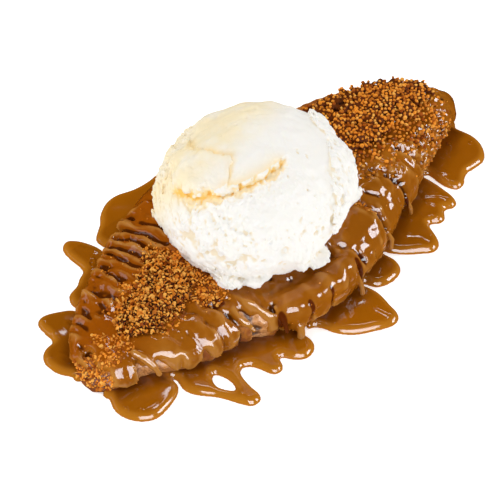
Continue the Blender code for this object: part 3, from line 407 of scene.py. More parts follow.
def node_field(name, lattice, reach):
    """Distance to a CAD node's surface, negative inside, true up to a reach."""
    points, triangles = node_mesh(name)
    scale = openvdb.createLinearTransform(voxelSize=lattice.voxel)
    level = openvdb.FloatGrid.createLevelSetFromPolygons(
        points, triangles=triangles, transform=scale, halfWidth=reach / lattice.voxel)
    field = np.zeros(lattice.count, np.float32)
    level.copyToArray(field, ijk=tuple(lattice.start))
    return field


def along_axes(field, weights):
    """The field with each axis multiplied by a matrix."""
    for axis, matrix in enumerate(weights):
        field = np.moveaxis(np.tensordot(matrix, field, (1, axis)), 0, axis)
    return np.ascontiguousarray(field, np.float32)


def blurred(field, voxel, reach):
    """The field smoothed by a bell of that half width in mm."""
    half = max(1, math.ceil(2.6 * reach / voxel))
    weights = np.exp(-((np.arange(-half, half + 1) * voxel / reach) ** 2) / 2)
    weights = (weights / weights.sum()).astype(np.float32)
    for axis in range(field.ndim):
        ends = [(0, 0)] * field.ndim
        ends[axis] = (half, half)
        wide = np.moveaxis(np.pad(field, ends, mode="edge"), axis, 0)
        count = field.shape[axis]
        total = weights[0] * wide[:count]
        for step, weight in enumerate(weights[1:], 1):
            total += weight * wide[step:step + count]
        field = np.moveaxis(total, 0, axis)
    return np.ascontiguousarray(field)


def noise(lines, spans, seed):
    """Smooth noise of spread 1 over lines of coordinates, its lumps spans mm wide."""
    rng = np.random.default_rng(seed)
    weights, sizes = [], []
    for line, span in zip(lines, spans):
        step = span / 2
        count = int((line[-1] - line[0]) / step) + 4
        t = np.abs((line - line[0])[:, None] / step + 1.5 - np.arange(count))
        near = 2 / 3 - t**2 + t**3 / 2
        far = np.clip(2 - t, 0, None) ** 3 / 6
        weights.append(np.where(t < 1, near, far).astype(np.float32))
        sizes.append(count)
    field = along_axes(rng.normal(size=sizes).astype(np.float32), weights)
    return field / field.std()


def sample(field, places):
    """The field's values at places, in steps of its lattice."""
    last = np.array(field.shape) - 2
    cell = np.clip(places.astype(int), 0, last)
    part = np.clip(places - cell, 0, 1)
    total = np.zeros(len(places), np.float32)
    for corner in np.ndindex(*(2,) * field.ndim):
        share = np.prod(np.where(corner, part, 1 - part), axis=1)
        total += share * field[tuple((cell + corner).T)]
    return total


def smoothstep(low, high, value):
    t = np.clip((value - low) / (high - low), 0, 1)
    return t * t * (3 - 2 * t)


def bell(value, width):
    return np.exp(-((value / width) ** 2))


def joined(a, b, reach):
    """The union of two fields, with a soft fillet of that reach."""
    share = np.clip(0.5 + (b - a) / (2 * reach), 0, 1)
    return b + (a - b) * share - reach * share * (1 - share)


def to_line(point, line):
    """Distance from points, given as coordinate arrays, to a line, the side in plan
    (1 to its left) and the distance run along it."""
    best = side = run = None
    passed = 0.0
    for a, b in zip(line[:-1], line[1:]):
        leg = [q - p for p, q in zip(a, b)]
        length = math.sqrt(sum(c * c for c in leg))
        t = np.clip(sum((p - o) * c for p, o, c in zip(point, a, leg)) / length**2, 0, 1)
        away = np.sqrt(sum((p - o - t * c) ** 2 for p, o, c in zip(point, a, leg)))
        turn = np.sign(leg[0] * (point[1] - a[1]) - leg[1] * (point[0] - a[0]))
        if best is None:
            best, side, run = away, turn, passed + t * length
        else:
            nearer = away < best
            best = np.where(nearer, away, best)
            side = np.where(nearer, turn, side)
            run = np.where(nearer, passed + t * length, run)
        passed += length
    return best, side, run


def leg_distance(legs, x, y):
    """Distance in plan to the nearest of some legs."""
    best = np.full(np.broadcast(x, y).shape, 99.0, np.float32)
    for (ax, ay), (bx, by) in legs:
        run = (bx - ax) ** 2 + (by - ay) ** 2 + 1e-9
        t = np.clip(((x - ax) * (bx - ax) + (y - ay) * (by - ay)) / run, 0, 1)
        best = np.minimum(best, np.hypot(x - ax - t * (bx - ax), y - ay - t * (by - ay)))
    return best


def within_legs(legs, x, y):
    """Whether places in plan lie inside closed legs."""
    crossings = np.zeros(np.broadcast(x, y).shape, np.int32)
    for (ax, ay), (bx, by) in legs:
        reach = ax + (y - ay) / (by - ay + 1e-12) * (bx - ax)
        crossings += ((ay > y) != (by > y)) & (x < reach)
    return crossings % 2 == 1


def reach_share(ends, points, soft=1.5, outward=False):
    """From 0 to 1, how far within a ring of points in plan others lie, its edge soft inward
    or outward."""
    ends = np.array(ends, np.float32)
    legs = np.stack([ends, np.roll(ends, -1, 0)], 1)
    away, within = leg_distance(legs, *points.T[:2]), within_legs(legs, *points.T[:2])
    edge = smoothstep(0.0, soft, away)
    return np.where(within, 1, 1 - edge) if outward else within * edge


# ---- meshes -----------------------------------------------------------------------------
def connected(count, edges):
    """A label for each vertex, shared by those that edges join."""
    label = np.arange(count)
    while True:
        low = np.minimum(label[edges[:, 0]], label[edges[:, 1]])
        new = label.copy()
        np.minimum.at(new, edges[:, 0], low)
        np.minimum.at(new, edges[:, 1], low)
        new = new[new]
        if np.array_equal(new, label):
            return label
        label = new


def link(name, data):
    """A new object in the scene."""
    made = bpy.data.objects.new(name, data)
    bpy.context.scene.collection.objects.link(made)
    return made


def mesh_object(name, points, faces, smooth=True):
    """A mesh from points in mm and faces of one size."""
    mesh = bpy.data.meshes.new(name)
    sides = faces.shape[1]
    mesh.vertices.add(len(points))
    mesh.vertices.foreach_set("co", (np.asarray(points, np.float32) * MM).ravel())
    mesh.loops.add(faces.size)
    mesh.loops.foreach_set("vertex_index", faces.astype(np.int32).ravel())
    mesh.polygons.add(len(faces))
    mesh.polygons.foreach_set("loop_start", np.arange(len(faces), dtype=np.int32) * sides)
    mesh.update(calc_edges=True)
    mesh.shade_smooth() if smooth else mesh.shade_flat()
    made = link(name, mesh)
    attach(made, "root")
    return made


def field_mesh(field, lattice, smallest=400):
    """Points in mm and quads of the surface where a field is 0, without loose scraps."""
    edge = 9.0
    for axis in range(3):
        ends = np.moveaxis(field, axis, 0)
        ends[0] = ends[-1] = edge
    grid = openvdb.FloatGrid(edge)
    grid.copyFromArray(np.ascontiguousarray(field, np.float32), tolerance=0.0)
    points, quads = grid.convertToQuads(0.0)
    points, quads = np.array(points), np.array(quads).astype(np.int64)
    label = connected(len(points), np.concatenate([quads[:, :2], quads[:, 1:3], quads[:, 2:]]))
    kept = np.bincount(label, minlength=len(points))[label] >= smallest
    place = np.cumsum(kept) - 1
    quads = place[quads[kept[quads[:, 0]]]]
    points = points[kept]
    outward = sample_gradient(field, points)
    corner = points[quads]
    normal = np.cross(corner[:, 1] - corner[:, 0], corner[:, 2] - corner[:, 0])
    if np.sum(normal * outward[quads[:, 0]]) < 0:
        quads = quads[:, ::-1]
    return (points + np.array(lattice.start)) * lattice.voxel, quads


def sample_gradient(field, places):
    """Direction in which a field grows at places."""
    steps = np.eye(3, dtype=np.float32)
    return np.stack([sample(field, places + s) - sample(field, places - s) for s in steps], 1)


def store(obj, name, values):
    """Keeps a number for each vertex, which a material reads by name."""
    kept = obj.data.attributes.new(name, "FLOAT", "POINT")
    kept.data.foreach_set("value", np.asarray(values, np.float32))


# ---- materials --------------------------------------------------------------------------
def colour(code):
    """An sRGB hex colour as linear RGBA."""
    parts = [int(code[i:i + 2], 16) / 255 for i in (1, 3, 5)]
    return [c / 12.92 if c <= 0.04045 else ((c + 0.055) / 1.055) ** 2.4 for c in parts] + [1]


def add(tree, kind, inputs=(), out=0, **settings):
    """Adds a shader node with its settings and its sockets' values or links; gives back
    one of its outputs."""
    made = tree.nodes.new(kind)
    for name, value in settings.items():
        setattr(made, name, value)
    for socket, value in dict(inputs).items():
        if isinstance(value, bpy.types.NodeSocket):
            tree.links.new(value, made.inputs[socket])
        else:
            made.inputs[socket].default_value = value
    return made.outputs[out]


def put(node, values):
    """Sets a node's sockets by name."""
    for socket, value in values.items():
        node.inputs[socket].default_value = value


def painted(tree, base, layers):
    """A colour built up in layers: each covers the last as its value goes from low to high,
    up to a share."""
    body = colour(base)
    for code, value, low, high, share in layers:
        cover = add(tree, "ShaderNodeMapRange", {0: value, 1: low, 2: high, 4: share},
                    interpolation_type="SMOOTHSTEP")
        body = add(tree, "ShaderNodeMix", {0: cover, 6: body, 7: colour(code)}, out=2,
                   data_type="RGBA")
    return body


def start_material(name, attributes, lumps):
    """A material's node tree, its shader, the vertex numbers it reads and its noises, whose
    lumps are that many mm wide."""
    made = bpy.data.materials.new(name)
    made.use_nodes = True
    tree = made.node_tree
    where = add(tree, "ShaderNodeTexCoord", out="Object")
    read = {a: add(tree, "ShaderNodeAttribute", out="Fac", attribute_name=a) for a in attributes}
    for label, size in lumps.items():
        read[label] = add(tree, "ShaderNodeTexNoise",
                          {"Vector": where, "Scale": 1 / (size * MM), "Detail": 4.0})
    return made, tree, tree.nodes["Principled BSDF"], read


def end_material(tree, shader, body, height, strength, depth, values):
    """Gives the shader its colour, its constants and a fine relief of a depth in mm."""
    tree.links.new(body, shader.inputs["Base Color"])
    put(shader, values)
    relief = add(tree, "ShaderNodeBump",
                 {"Strength": strength, "Distance": depth * MM, "Height": height})
    tree.links.new(relief, shader.inputs["Normal"])


def sauce_material():
    """Milk caramel sauce, poured warm: opaque, smooth and wet; brown where it is thin over
    the crust, red and clear where it only glazes it, milky where it stands thick, golden at
    its rims; painted darker as shade in its creases, under crumbs and at the pastry's foot,
    and paler on its crests as a painted highlight."""
    made, tree, shader, read = start_material(
        "milk_caramel_sauce_poured", ("crease", "crest", "thin", "clear", "rim", "shade", "flat"),
        {"cloud": 9.0, "streak": 3.0, "pores": 0.8})
    body = painted(tree, "#9E5A0E", (
        ("#AE6A1C", read["cloud"], 0.46, 0.7, 0.6),
        ("#A05206", read["thin"], 0.0, 1.0, 1.0),
        ("#8F4A04", read["streak"], 0.52, 0.7, 0.35),
        ("#A86004", read["flat"], 0.0, 1.0, 0.85),
        ("#5E2C02", read["shade"], 0.0, 1.0, 0.9),
        ("#C07A20", read["rim"], 0.0, 1.0, 0.8),
        # painted highlight: the sauce paler on its crests
        ("#C2853C", read["crest"], 0.08, 0.5, 0.75),
        ("#5A2004", read["clear"], 0.0, 1.0, 0.95),
        # painted shade: the sauce darker in its creases
        ("#451A04", read["crease"], 0.12, 0.55, 0.85)))
    end_material(tree, shader, body, read["pores"], 0.2, 0.08,
                 {"Roughness": 0.085, "IOR": 1.47, "Specular IOR Level": 0.37})
    return made


def pastry_material():
    """Laminated dough, baked and pressed: crisp paper-thin layers, brown with butter where
    baked and pale where they broke open; painted darker as shade in its creases, and dark red
    as shade round the stray crumbs at its blunt tip."""
    made, tree, shader, read = start_material(
        "croissant_dough_baked_pressed", ("crease", "flake", "clear"),
        {"patch": 3.5, "layers": 0.8})
    body = painted(tree, "#A4560A", (
        ("#CC8024", read["patch"], 0.42, 0.62, 1.0),
        ("#E2A260", read["flake"], 0.0, 0.8, 0.95),
        ("#A9611C", read["layers"], 0.48, 0.6, 0.6),
        ("#5A2004", read["clear"], 0.0, 1.0, 0.95),
        # painted shade: the pastry darker in its creases
        ("#401B04", read["crease"], 0.12, 0.5, 0.85)))
    end_material(tree, shader, body, read["layers"], 0.7, 0.25,
                 {"Roughness": 0.4, "Specular IOR Level": 0.3})
    return made


def crumb_material():
    """Spiced caramel biscuit, crushed: dry porous grains, toasted gold outside, with the gaps
    between them painted dark as shade."""
    made, tree, shader, read = start_material(
        "caramel_biscuit_crushed", ("tone", "gap"), {"grain": 0.5})
    body = painted(tree, "#9A4804", (
        ("#FFA232", read["tone"], 0.0, 0.8, 1.0),
        ("#FFC25C", read["tone"], 0.75, 1.0, 0.7),
        ("#8A3E00", read["grain"], 0.5, 0.66, 0.4),
        # painted shade: near black in the gaps between grains
        ("#240A00", read["gap"], 0.0, 1.0, 1.0)))
    end_material(tree, shader, body, read["grain"], 0.8, 0.15,
                 {"Roughness": 0.7, "Specular IOR Level": 0.05})
    return made


def cream_material():
    """Vanilla ice cream, scooped: white and softly lit from within, icy and pitted where the
    scoop tore it; painted yellow as shade in its folds, creases and hollows, and painted warmer
    as shade on its upper left side."""
    made, tree, shader, read = start_material(
        "vanilla_ice_cream_scooped", ("hollow", "cavity", "crease", "glow", "warm"),
        {"cloud": 7.0, "flecks": 1.3, "icy": 0.8})
    body = painted(tree, "#FBF8F2", (
        # painted shade: the scoop's upper left side warmer
        ("#FFEEC8", read["warm"], 0.0, 1.0, 1.0),
        ("#FCF8F0", read["cloud"], 0.4, 0.7, 0.5),
        # painted shade: the cream yellower in its cavities and hollows
        ("#FFE9BC", read["cavity"], 0.05, 0.5, 0.9),
        ("#F1E0BE", read["hollow"], 0.06, 0.45, 0.8),
        # painted shade: the cream yellow under its fold
        ("#FFDB8C", read["glow"], 0.0, 1.0, 0.95),
        ("#F9DC9E", read["flecks"], 0.71, 0.8, 0.45),
        # painted shade: the cream yellow in its creases
        ("#FFCB62", read["crease"], 0.35, 0.9, 0.85)))
    end_material(tree, shader, body, read["icy"], 0.4, 0.2,
                 {"Roughness": 0.5, "Specular IOR Level": 0.08, "Subsurface Weight": 0.1,
                  "Subsurface Radius": (1.0, 0.8, 0.55), "Subsurface Scale": 1.2 * MM})
    return made


def finish_piece(piece, material, slot, nodes=(), **numbers):
    """Gives a piece its finish, its vertices' numbers and the CAD nodes it stands for."""
    piece.data.materials.append(material)
    for name, values in numbers.items():
        store(piece, name, np.broadcast_to(values, len(piece.data.vertices)))
    if nodes:
        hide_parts(*nodes)


# ---- pastry and coat --------------------------------------------------------------------
def plan_relief(x, y):
    """How far pleats, rolls and dents stand out of the CAD's surface, over plan."""
    out = np.zeros(np.broadcast(x, y).shape, np.float32)
    wander = 0.3 * noise(coat_lattice.lines[:2], (4.0, 6.0), 11)
    uneven = 1 + 0.2 * noise(coat_lattice.lines[:2], (4.0, 4.0), 12)
    for line, step, swell, slit in PLEATS:
        away, side, run = to_line((x + wander, y), line)
        beyond = away * side                      # positive over the next pleat
        length = sum(math.dist(a, b) for a, b in zip(line[:-1], line[1:]))
        fade = 1 - smoothstep(length - 1.5, length, run) * (away > 0.01)
        fade = smoothstep(0.0, 2.5, run) * fade
        behind = bell(np.minimum(beyond, 0), swell) * (1 - smoothstep(-0.2, 0.45, beyond))
        open_slit = slit * np.exp(-np.abs(beyond - 0.45) / (0.3 + 0.17 * slit))
        out += fade * uneven * (step * behind - open_slit)
    for line, width, height in ROLLS:
        out += height * bell(to_line((x, y), line)[0], width)
    for line, width, depth in DENTS:
        out -= depth * bell(to_line((x, y), line)[0], width)
    return out


def outline_field(x, y, z):
    """How far in from the sauce's edge a point of the surface lies."""
    near = z - np.interp(x, *np.array(NEAR_HEM).T).astype(np.float32)
    far = np.interp(x, *np.array(FAR_HEM).T).astype(np.float32) - y
    inside = np.minimum(near, far)
    for line, width in BARE:
        inside = np.minimum(inside, to_line((x, y), line)[0] - width)
    return inside


def hollows(field, lattice, points, reach):
    """How deep points of a field's surface lie in hollows about as wide as a reach, negative
    on crests."""
    return -sample(blurred(field, lattice.voxel, reach), lattice.places(points))


def near_lines(x, y, table, soft=1.4):
    """From 0 to 1, how near a point in plan is to a table's lines, given each reach."""
    return np.max([1 - smoothstep(row[1] / soft, row[1] * soft, to_line((x, y), row[0])[0])
                   for row in table], axis=0)


# The crust: the CAD's pastry with its ribs softened, then pleats, rolls, dents and flakes
coat_lattice = lattice = lattice_round(["pastry", "sauce_coat"], COAT_STEP, 2.5)
plan = (lattice.x[:, :, 0], lattice.y[:, :, 0])
above_table = smoothstep(0.2, 3.5, lattice.z)
plain = node_field("pastry", lattice, 6.0)
ribbed = smoothstep(-2.0, 3.0, plan[1]) * smoothstep(-26.0, -30.0, plan[0])
soft = blurred(plain, lattice.voxel, RIBS_SOFT) - RIBS_SWELL
plain += (soft - plain) * ribbed[:, :, None] * above_table
plain -= plan_relief(*plan)[:, :, None] * above_table
floor = 0.03 - lattice.z
layered = noise(lattice.lines, (9.0, 7.0, 1.1), 3)
crust = noise(lattice.lines, (2.6, 2.6, 2.6), 4)
flaky = near_lines(*plan, FLAKY)[:, :, None]
blunt = smoothstep(-74.0, -79.5, lattice.x)
rough = 0.14 + 0.1 * flaky + 0.5 * blunt
pastry_field = np.maximum(plain - rough * (0.6 * layered + crust) * above_table, floor)

# The sauce over it: a bead along its ragged hem, then waves, the roll and the drips
even = blurred(plain, lattice.voxel, 0.45)
ragged = noise(lattice.lines[:2], (3.2, 3.2), 5)[:, :, None] * 0.4
inside = outline_field(*lattice.place) + ragged
share = np.clip(inside / BEAD, 0, 1)
lift = SAUCE * np.sqrt(1 - (1 - share) ** 2) - 1.2 * np.clip(-inside / 0.6, 0, 1)
gritty = np.max([row[2] * near_lines(*plan, (row[:2],)) for row in GRITTY], axis=0)[:, :, None]
waves = 0.15 * noise(lattice.lines, (6.0, 6.0, 6.0), 6)
waves = waves + (0.04 + gritty) * noise(lattice.lines, (1.8, 1.8, 1.8), 7)
draped = smoothstep(14.0, 20.0, lattice.x) * smoothstep(-12.0, -20.0, lattice.y)
draped = smoothstep(-26.0, -33.0, lattice.y) + draped
waves = waves + 0.17 * np.minimum(draped, 1) * noise(lattice.lines, (3.2, 7.0, 7.0), 8)
waves = waves + (0.24 * ribbed[:, :, None]) * noise(lattice.lines, (1.6, 7.0, 7.0), 10)
sauce_field = even - lift - waves * above_table
lumpy = ROLL_LUMPS * noise(lattice.lines, (4.5, 8.0, 8.0), 9)
roll = to_line(lattice.place, ROLL)[0] - ROLL_WIDTH - lumpy
sauce_field = joined(sauce_field, roll, 1.2)
for line, width in DRIPS:
    drip = to_line(lattice.place, line)[0] - width
    sauce_field = joined(sauce_field, drip, 0.8)
sauce_field = np.maximum(sauce_field, floor)
sauce_shell = np.maximum(sauce_field, -(pastry_field + SAUCE_SUNK))

pastry_points, quads = field_mesh(pastry_field, lattice)
pastry = mesh_object("pressed_pastry", pastry_points, quads)
spot = pastry_points.T[:2]
finish_piece(pastry, pastry_material(), PASTRY, ["pastry"],
             # painted shade in the pastry's creases
             crease=hollows(pastry_field, lattice, pastry_points, 1.2),
             flake=near_lines(*spot, FLAKY),
             # dark red clear glaze along its lines; round the first row of stray crumbs at the
             # tip, at half share, painted shade
             clear=np.maximum(near_lines(*spot, CLEAR), 0.5 * near_lines(*spot, STRAYS[:1])))

coat_points, quads = field_mesh(sauce_shell, lattice)
coat = mesh_object("poured_sauce", coat_points, quads)
sauce = sauce_material()
thin = smoothstep(-16.0, 8.0, coat_points[:, 1] - 0.12 * coat_points[:, 0])
# How deep each point lies in hollows: painted shade in creases and, negated, a painted highlight
# on crests
crease = hollows(sauce_field, lattice, coat_points, 1.1)
near_wall = smoothstep(-8.0, -20.0, coat_points[:, 1])
far_ribs = smoothstep(0.0, 4.0, coat_points[:, 1]) * smoothstep(-24.0, -28.0, coat_points[:, 0])
# how strongly crests are painted paler, as highlight: most on the near wall and the far ribs
pale_crests = 0.35 + 0.65 * np.maximum(near_wall, far_ribs)
under = np.maximum(reach_share(FRONT_REACH, coat_points), reach_share(REAR_REACH, coat_points))
finish_piece(coat, sauce, GLAZE, ["sauce_coat"], thin=thin, flat=0.0, shade=0.6 * under,
             # the far ribs' creases are painted darker still, as shade
             crease=crease * (1 + 1.3 * far_ribs), crest=-crease * pale_crests,
             clear=near_lines(*coat_points.T[:2], CLEAR),
             rim=0.6 * (1 - smoothstep(0.2, 1.8, sample(inside, lattice.places(coat_points)))))


# ---- pools ------------------------------------------------------------------------------
def outline_legs(name):
    """The outline of a CAD pool on the table, as legs."""
    points, triangles = node_mesh(name)
    triangles = triangles.astype(np.int64)
    _, same = np.unique(np.round(points, 3), axis=0, return_inverse=True)
    same = same.ravel()
    flat = triangles[(np.abs(points[triangles][:, :, 2]) < 0.02).all(1)]
    legs = np.concatenate([flat[:, :2], flat[:, 1:], flat[:, [2, 0]]])
    _, first, uses = np.unique(np.sort(same[legs], axis=1), axis=0, return_index=True,
                               return_counts=True)
    return points[legs[first[uses == 1]]][:, :, :2]


def foot_distance(points):
    """How far points in plan lie from the pastry's foot, negative under it."""
    return sample(foot_slice, np.asarray(points) / COAT_STEP - np.array(coat_lattice.start[:2]))


foot_slice = pastry_field[:, :, int(FOOT_HEIGHT / COAT_STEP) - coat_lattice.start[2]]
for name in sorted(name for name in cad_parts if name.startswith("pool_")):
    lattice = lattice_round([name], POOL_STEP, 2.7)
    x, y = np.broadcast_arrays(lattice.x[:, :, 0], lattice.y[:, :, 0])
    foot = foot_distance(np.stack([x.ravel(), y.ravel()], 1)).reshape(x.shape)
    legs = outline_legs(name)
    along = foot_distance(legs.mean(1)) < FOOT_NEAR
    within = within_legs(legs, x, y)
    if along.any():
        within |= (leg_distance(legs[along], x, y) < FOOT_REACH) & (foot < FOOT_NEAR)
    signed = np.where(within, leg_distance(legs[~along], x, y), -leg_distance(legs, x, y))
    signed = blurred(signed.astype(np.float32), lattice.voxel, 0.8)
    edge = np.clip(signed / MENISCUS, 0, 1)
    swell = 0.1 * noise(lattice.lines[:2], (6.0, 6.0), 41) + 0.4 * bell(np.maximum(foot, 0), 2.0)
    for line in RIDGES:
        swell = swell + RIDGE[0] * bell(to_line((x, y), line)[0], RIDGE[1])
    for middle in BUBBLES:
        apart = np.hypot(x - middle[0], y - middle[1]) / BUBBLE[1]
        swell = swell + BUBBLE[0] * np.sqrt(np.clip(1 - apart**2, 0, 1))
    ring = np.hypot(x + y - RING[0] - RING[1], RING_SLIMNESS * (x - y - RING[0] + RING[1]))
    ring = ring / RING_LENGTH
    swell = swell + 0.36 * bell(ring - 1, 0.35) - 0.2 * bell(ring, 0.6)
    top = (POOL_TOP + swell * edge) * (1 - (1 - edge) ** 2) ** 0.6
    field = np.maximum(np.maximum(lattice.z - top[:, :, None], -lattice.z), -signed[:, :, None])
    points, quads = field_mesh(field.astype(np.float32), lattice)
    pool = mesh_object(name.replace("pool_", "sauce_pool_"), points, quads)
    spot = lattice.places(points)[:, :2]
    finish_piece(pool, sauce, GLAZE, [name], thin=0.0, crease=0.0, crest=0.0, clear=0.0, flat=1.0,
                 rim=1 - smoothstep(0.0, 3.2, sample(signed, spot)),
                 shade=0.8 * (1 - smoothstep(1.0, 9.0, sample(foot.astype(np.float32), spot))))


# ---- ice cream --------------------------------------------------------------------------
def over_face(x, y, z):
    """How far points lie from the axis of the scoop's face, to its right and over it."""
    azimuth, elevation = (math.radians(angle) for angle in SCOOP_FACE)
    right = (math.cos(azimuth), math.sin(azimuth), 0.0)
    up = (-math.sin(azimuth) * math.sin(elevation), math.cos(azimuth) * math.sin(elevation),
          math.cos(elevation))
    off = [c - m for c, m in zip((x, y, z), CREAM_MIDDLE)]
    across, over = (sum(a * b for a, b in zip(off, axis)) for axis in (right, up))
    return np.hypot(across, over), across, over


def from_middle(place, middle, sizes=(1.0, 1.0, 1.0)):
    """Distance of places from a middle, in half sizes."""
    return np.sqrt(sum(((c - m) / s) ** 2 for c, m, s in zip(place, middle, sizes)))


def fold_ends(run, start):
    """From 0 to 1, how much of the fold there is along it, which dies out at both ends."""
    return smoothstep(0, start, run) * (1 - smoothstep(run.max() - 8, run.max(), run))


def cream_relief(x, y, z, lines, band):
    """How far the scoop's folds, lumps, creases and pits stand out at points near its skin."""
    grains = {s: noise(lines, (s, s, s), int(50 + s * 10))[band] for s in (0.9, 1.6, 3.5, 8.0)}
    fibres = noise(lines, (0.9, 0.9, 3.6), 49)[band]
    x, y, z = (c + 0.45 * grains[3.5] + 0.25 * grains[1.6] for c in (x, y, z))
    away, side, run = to_line((x, y, z), FOLD)
    ends = fold_ends(run, 4)
    lip = side > 0
    out = ends * np.where(lip, FOLD_LIP[0] * np.exp(-away / FOLD_LIP[1]),
                          -FOLD_DROP[0] * np.exp(-away / FOLD_DROP[1]))
    out -= ends * (0.9 + 0.5 * grains[1.6]) * bell(np.where(lip, 9, away - 0.3), 0.5)
    torn = ends * np.where(lip, 0, np.exp(-away / 6))
    for line, width, depth, step in CREAM_CREASES:
        apart, turn, _ = to_line((x, y, z), line)
        turn = 2 * smoothstep(-width, width, turn * apart) - 1
        out -= depth * bell(apart, width) - 0.5 * step * turn * np.exp(-apart / 2.2)
    for middle, width, height in CREAM_LUMPS + tuple((pit, *PIT) for pit in CREAM_PITS):
        out += height * bell(from_middle((x, y, z), middle), width)
    apart, turn, _ = to_line((x, y, z), FLAP)
    flap = smoothstep(-0.4, 0.9, turn * apart + 0.5 * grains[1.6])
    flap = flap * np.exp(-apart / 7) * smoothstep(20, 28, z)
    out += flap * (1.2 + 0.35 * grains[3.5])
    aside, across, over = over_face(x, y, z)
    lower = 1 - smoothstep(38, 47, z)
    left = smoothstep(6, -12, across)
    combed = smoothstep(16, 24, aside) * left * smoothstep(14, 4, over)
    level = aside + 0.8 * grains[8.0] + 0.3 * grains[3.5]
    out += combed * 0.55 * (np.abs(np.sin(level * math.pi / COMBED)) - 0.6)
    torn = np.maximum(torn, lower * (0.3 + 0.5 * left) + 0.6 * flap)
    torn = np.maximum(torn, 0.5 * bell(from_middle((x, y, z), PILLOW[0]), PILLOW[1]))
    shreds = torn * (0.3 * fibres + 0.2 * grains[1.6]) * (1 - 0.6 * combed)
    out += shreds + (0.02 + 0.12 * torn) * grains[0.9]
    pits = np.clip(grains[0.9] + 0.5 * grains[1.6] - 1.7, 0, 1.6)
    out = out + 0.18 * grains[3.5] + 0.25 * grains[8.0]
    return out - 0.8 * pits * np.clip(torn * 1.4, 0.03, 1)


lattice = lattice_round(["ice_cream"], CREAM_STEP, 2.5)
cream_field = blurred(node_field("ice_cream", lattice, 5.0), lattice.voxel, 0.6)
for middle, sizes in SKIRT:
    reach = from_middle(lattice.place, middle, sizes)
    cream_field = joined(cream_field, (reach - 1) * min(sizes), 0.9)
band = np.nonzero(np.abs(cream_field) < 3.2)
cream_field[band] -= cream_relief(*(line[b] for line, b in zip(lattice.lines, band)),
                                  lattice.lines, band)
points, quads = field_mesh(cream_field, lattice)
scoop = mesh_object("ice_cream_scoop", points, quads)
_, across, over = over_face(*points.T)
away, side, run = to_line(points.T, FOLD)
# painted shade: yellow under the dome's fold and along the small lump's edge
glow = np.where(side > 0, np.exp(-away / 2.6), np.exp(-away / 0.8)) * fold_ends(run, 5)
glow = np.maximum(glow, 0.6 * bell(to_line(points.T, LUMP_EDGE)[0], 1.8))
# painted shade: yellower in small hollows and in broad cavities near the fold
hollow = hollows(cream_field, lattice, points, 0.7)
cavity = hollows(cream_field, lattice, points, 2.2) * bell(away, 5.0)
# where creases are painted yellowest as shade: near the fold and over the top
yellow = np.maximum(bell(away, 3.0), 0.5 * smoothstep(46.0, 48.0, points[:, 2]))
finish_piece(scoop, cream_material(), CREAM, ["ice_cream"], hollow=hollow, cavity=cavity,
             crease=hollow * (0.2 + 0.8 * yellow) * smoothstep(21, 27, points[:, 2]),
             # the scoop's upper left side, away from the key lamp, painted warmer as shade
             warm=smoothstep(6.0, 30.0, over - across), glow=glow)


# ---- crumbs -----------------------------------------------------------------------------
def ball_mesh():
    """Points and triangles of a ball of radius 1 with 80 faces."""
    made = bmesh.new()
    bmesh.ops.create_icosphere(made, subdivisions=2, radius=1.0)
    points = np.array([v.co for v in made.verts], np.float32)
    faces = np.array([[v.index for v in f.verts] for f in made.faces])
    made.free()
    return points, faces


def spread(points, spacing, weights, rng):
    """Picks from points at random, more where their weight is high, none closer together
    than a spacing."""
    taken, chosen = {}, []
    for i in rng.permutation(len(points)):
        if rng.random() > weights[i]:
            continue
        cell = tuple((points[i] // spacing).astype(int))
        around = itertools.product(*[(c - 1, c, c + 1) for c in cell])
        near = [taken[a] for a in around if a in taken]
        if all(math.dist(points[i], points[j]) >= spacing for j in near):
            taken[cell] = i
            chosen.append(i)
    return np.array(chosen, int)


def grains(name, points, sizes, chops, rng, tones, long=1.3):
    """One mesh of crumbs at points: each a ball chopped flat by random cuts (their number and
    the range of their distance from its middle), stretched up to long and turned."""
    ball, faces = ball_mesh()
    count = len(points)
    shape = np.broadcast_to(ball, (count, *ball.shape)).copy()
    for _ in range(chops[0]):
        cut = rng.normal(size=(count, 1, 3))
        cut /= np.linalg.norm(cut, axis=2, keepdims=True)
        over = (shape * cut).sum(2, keepdims=True) - rng.uniform(*chops[1:], (count, 1, 1))
        shape = shape - cut * np.clip(over, 0, None)
    shape = shape * rng.uniform(0.6, long, (count, 1, 3))
    turns = np.linalg.qr(rng.normal(size=(count, 3, 3)))[0]
    turns *= np.sign(np.linalg.det(turns))[:, None, None]
    shape = np.einsum("nij,nvj->nvi", turns, shape) * np.asarray(sizes)[:, None, None]
    shape = shape + points[:, None, :]
    all_faces = (faces[None] + (np.arange(count) * len(ball))[:, None, None]).reshape(-1, 3)
    piece = mesh_object(name, shape.reshape(-1, 3), all_faces, smooth=False)
    finish_piece(piece, crumb, CRUMB, tone=np.repeat(tones, len(ball)), gap=0.0)


def scatter(name, places, spacing, share, lift, sizes, chops, tone, rng, long=1.3):
    """One mesh of crumbs spread over places, with a mean tone and its spread."""
    chosen = places[spread(places, spacing, share, rng)] + np.array([0, 0, lift])
    count = len(chosen)
    sizes, tones = rng.uniform(*sizes, count), rng.normal(*tone, count)
    grains(name, chosen, sizes, chops, rng, np.clip(tones, 0, 1), long)


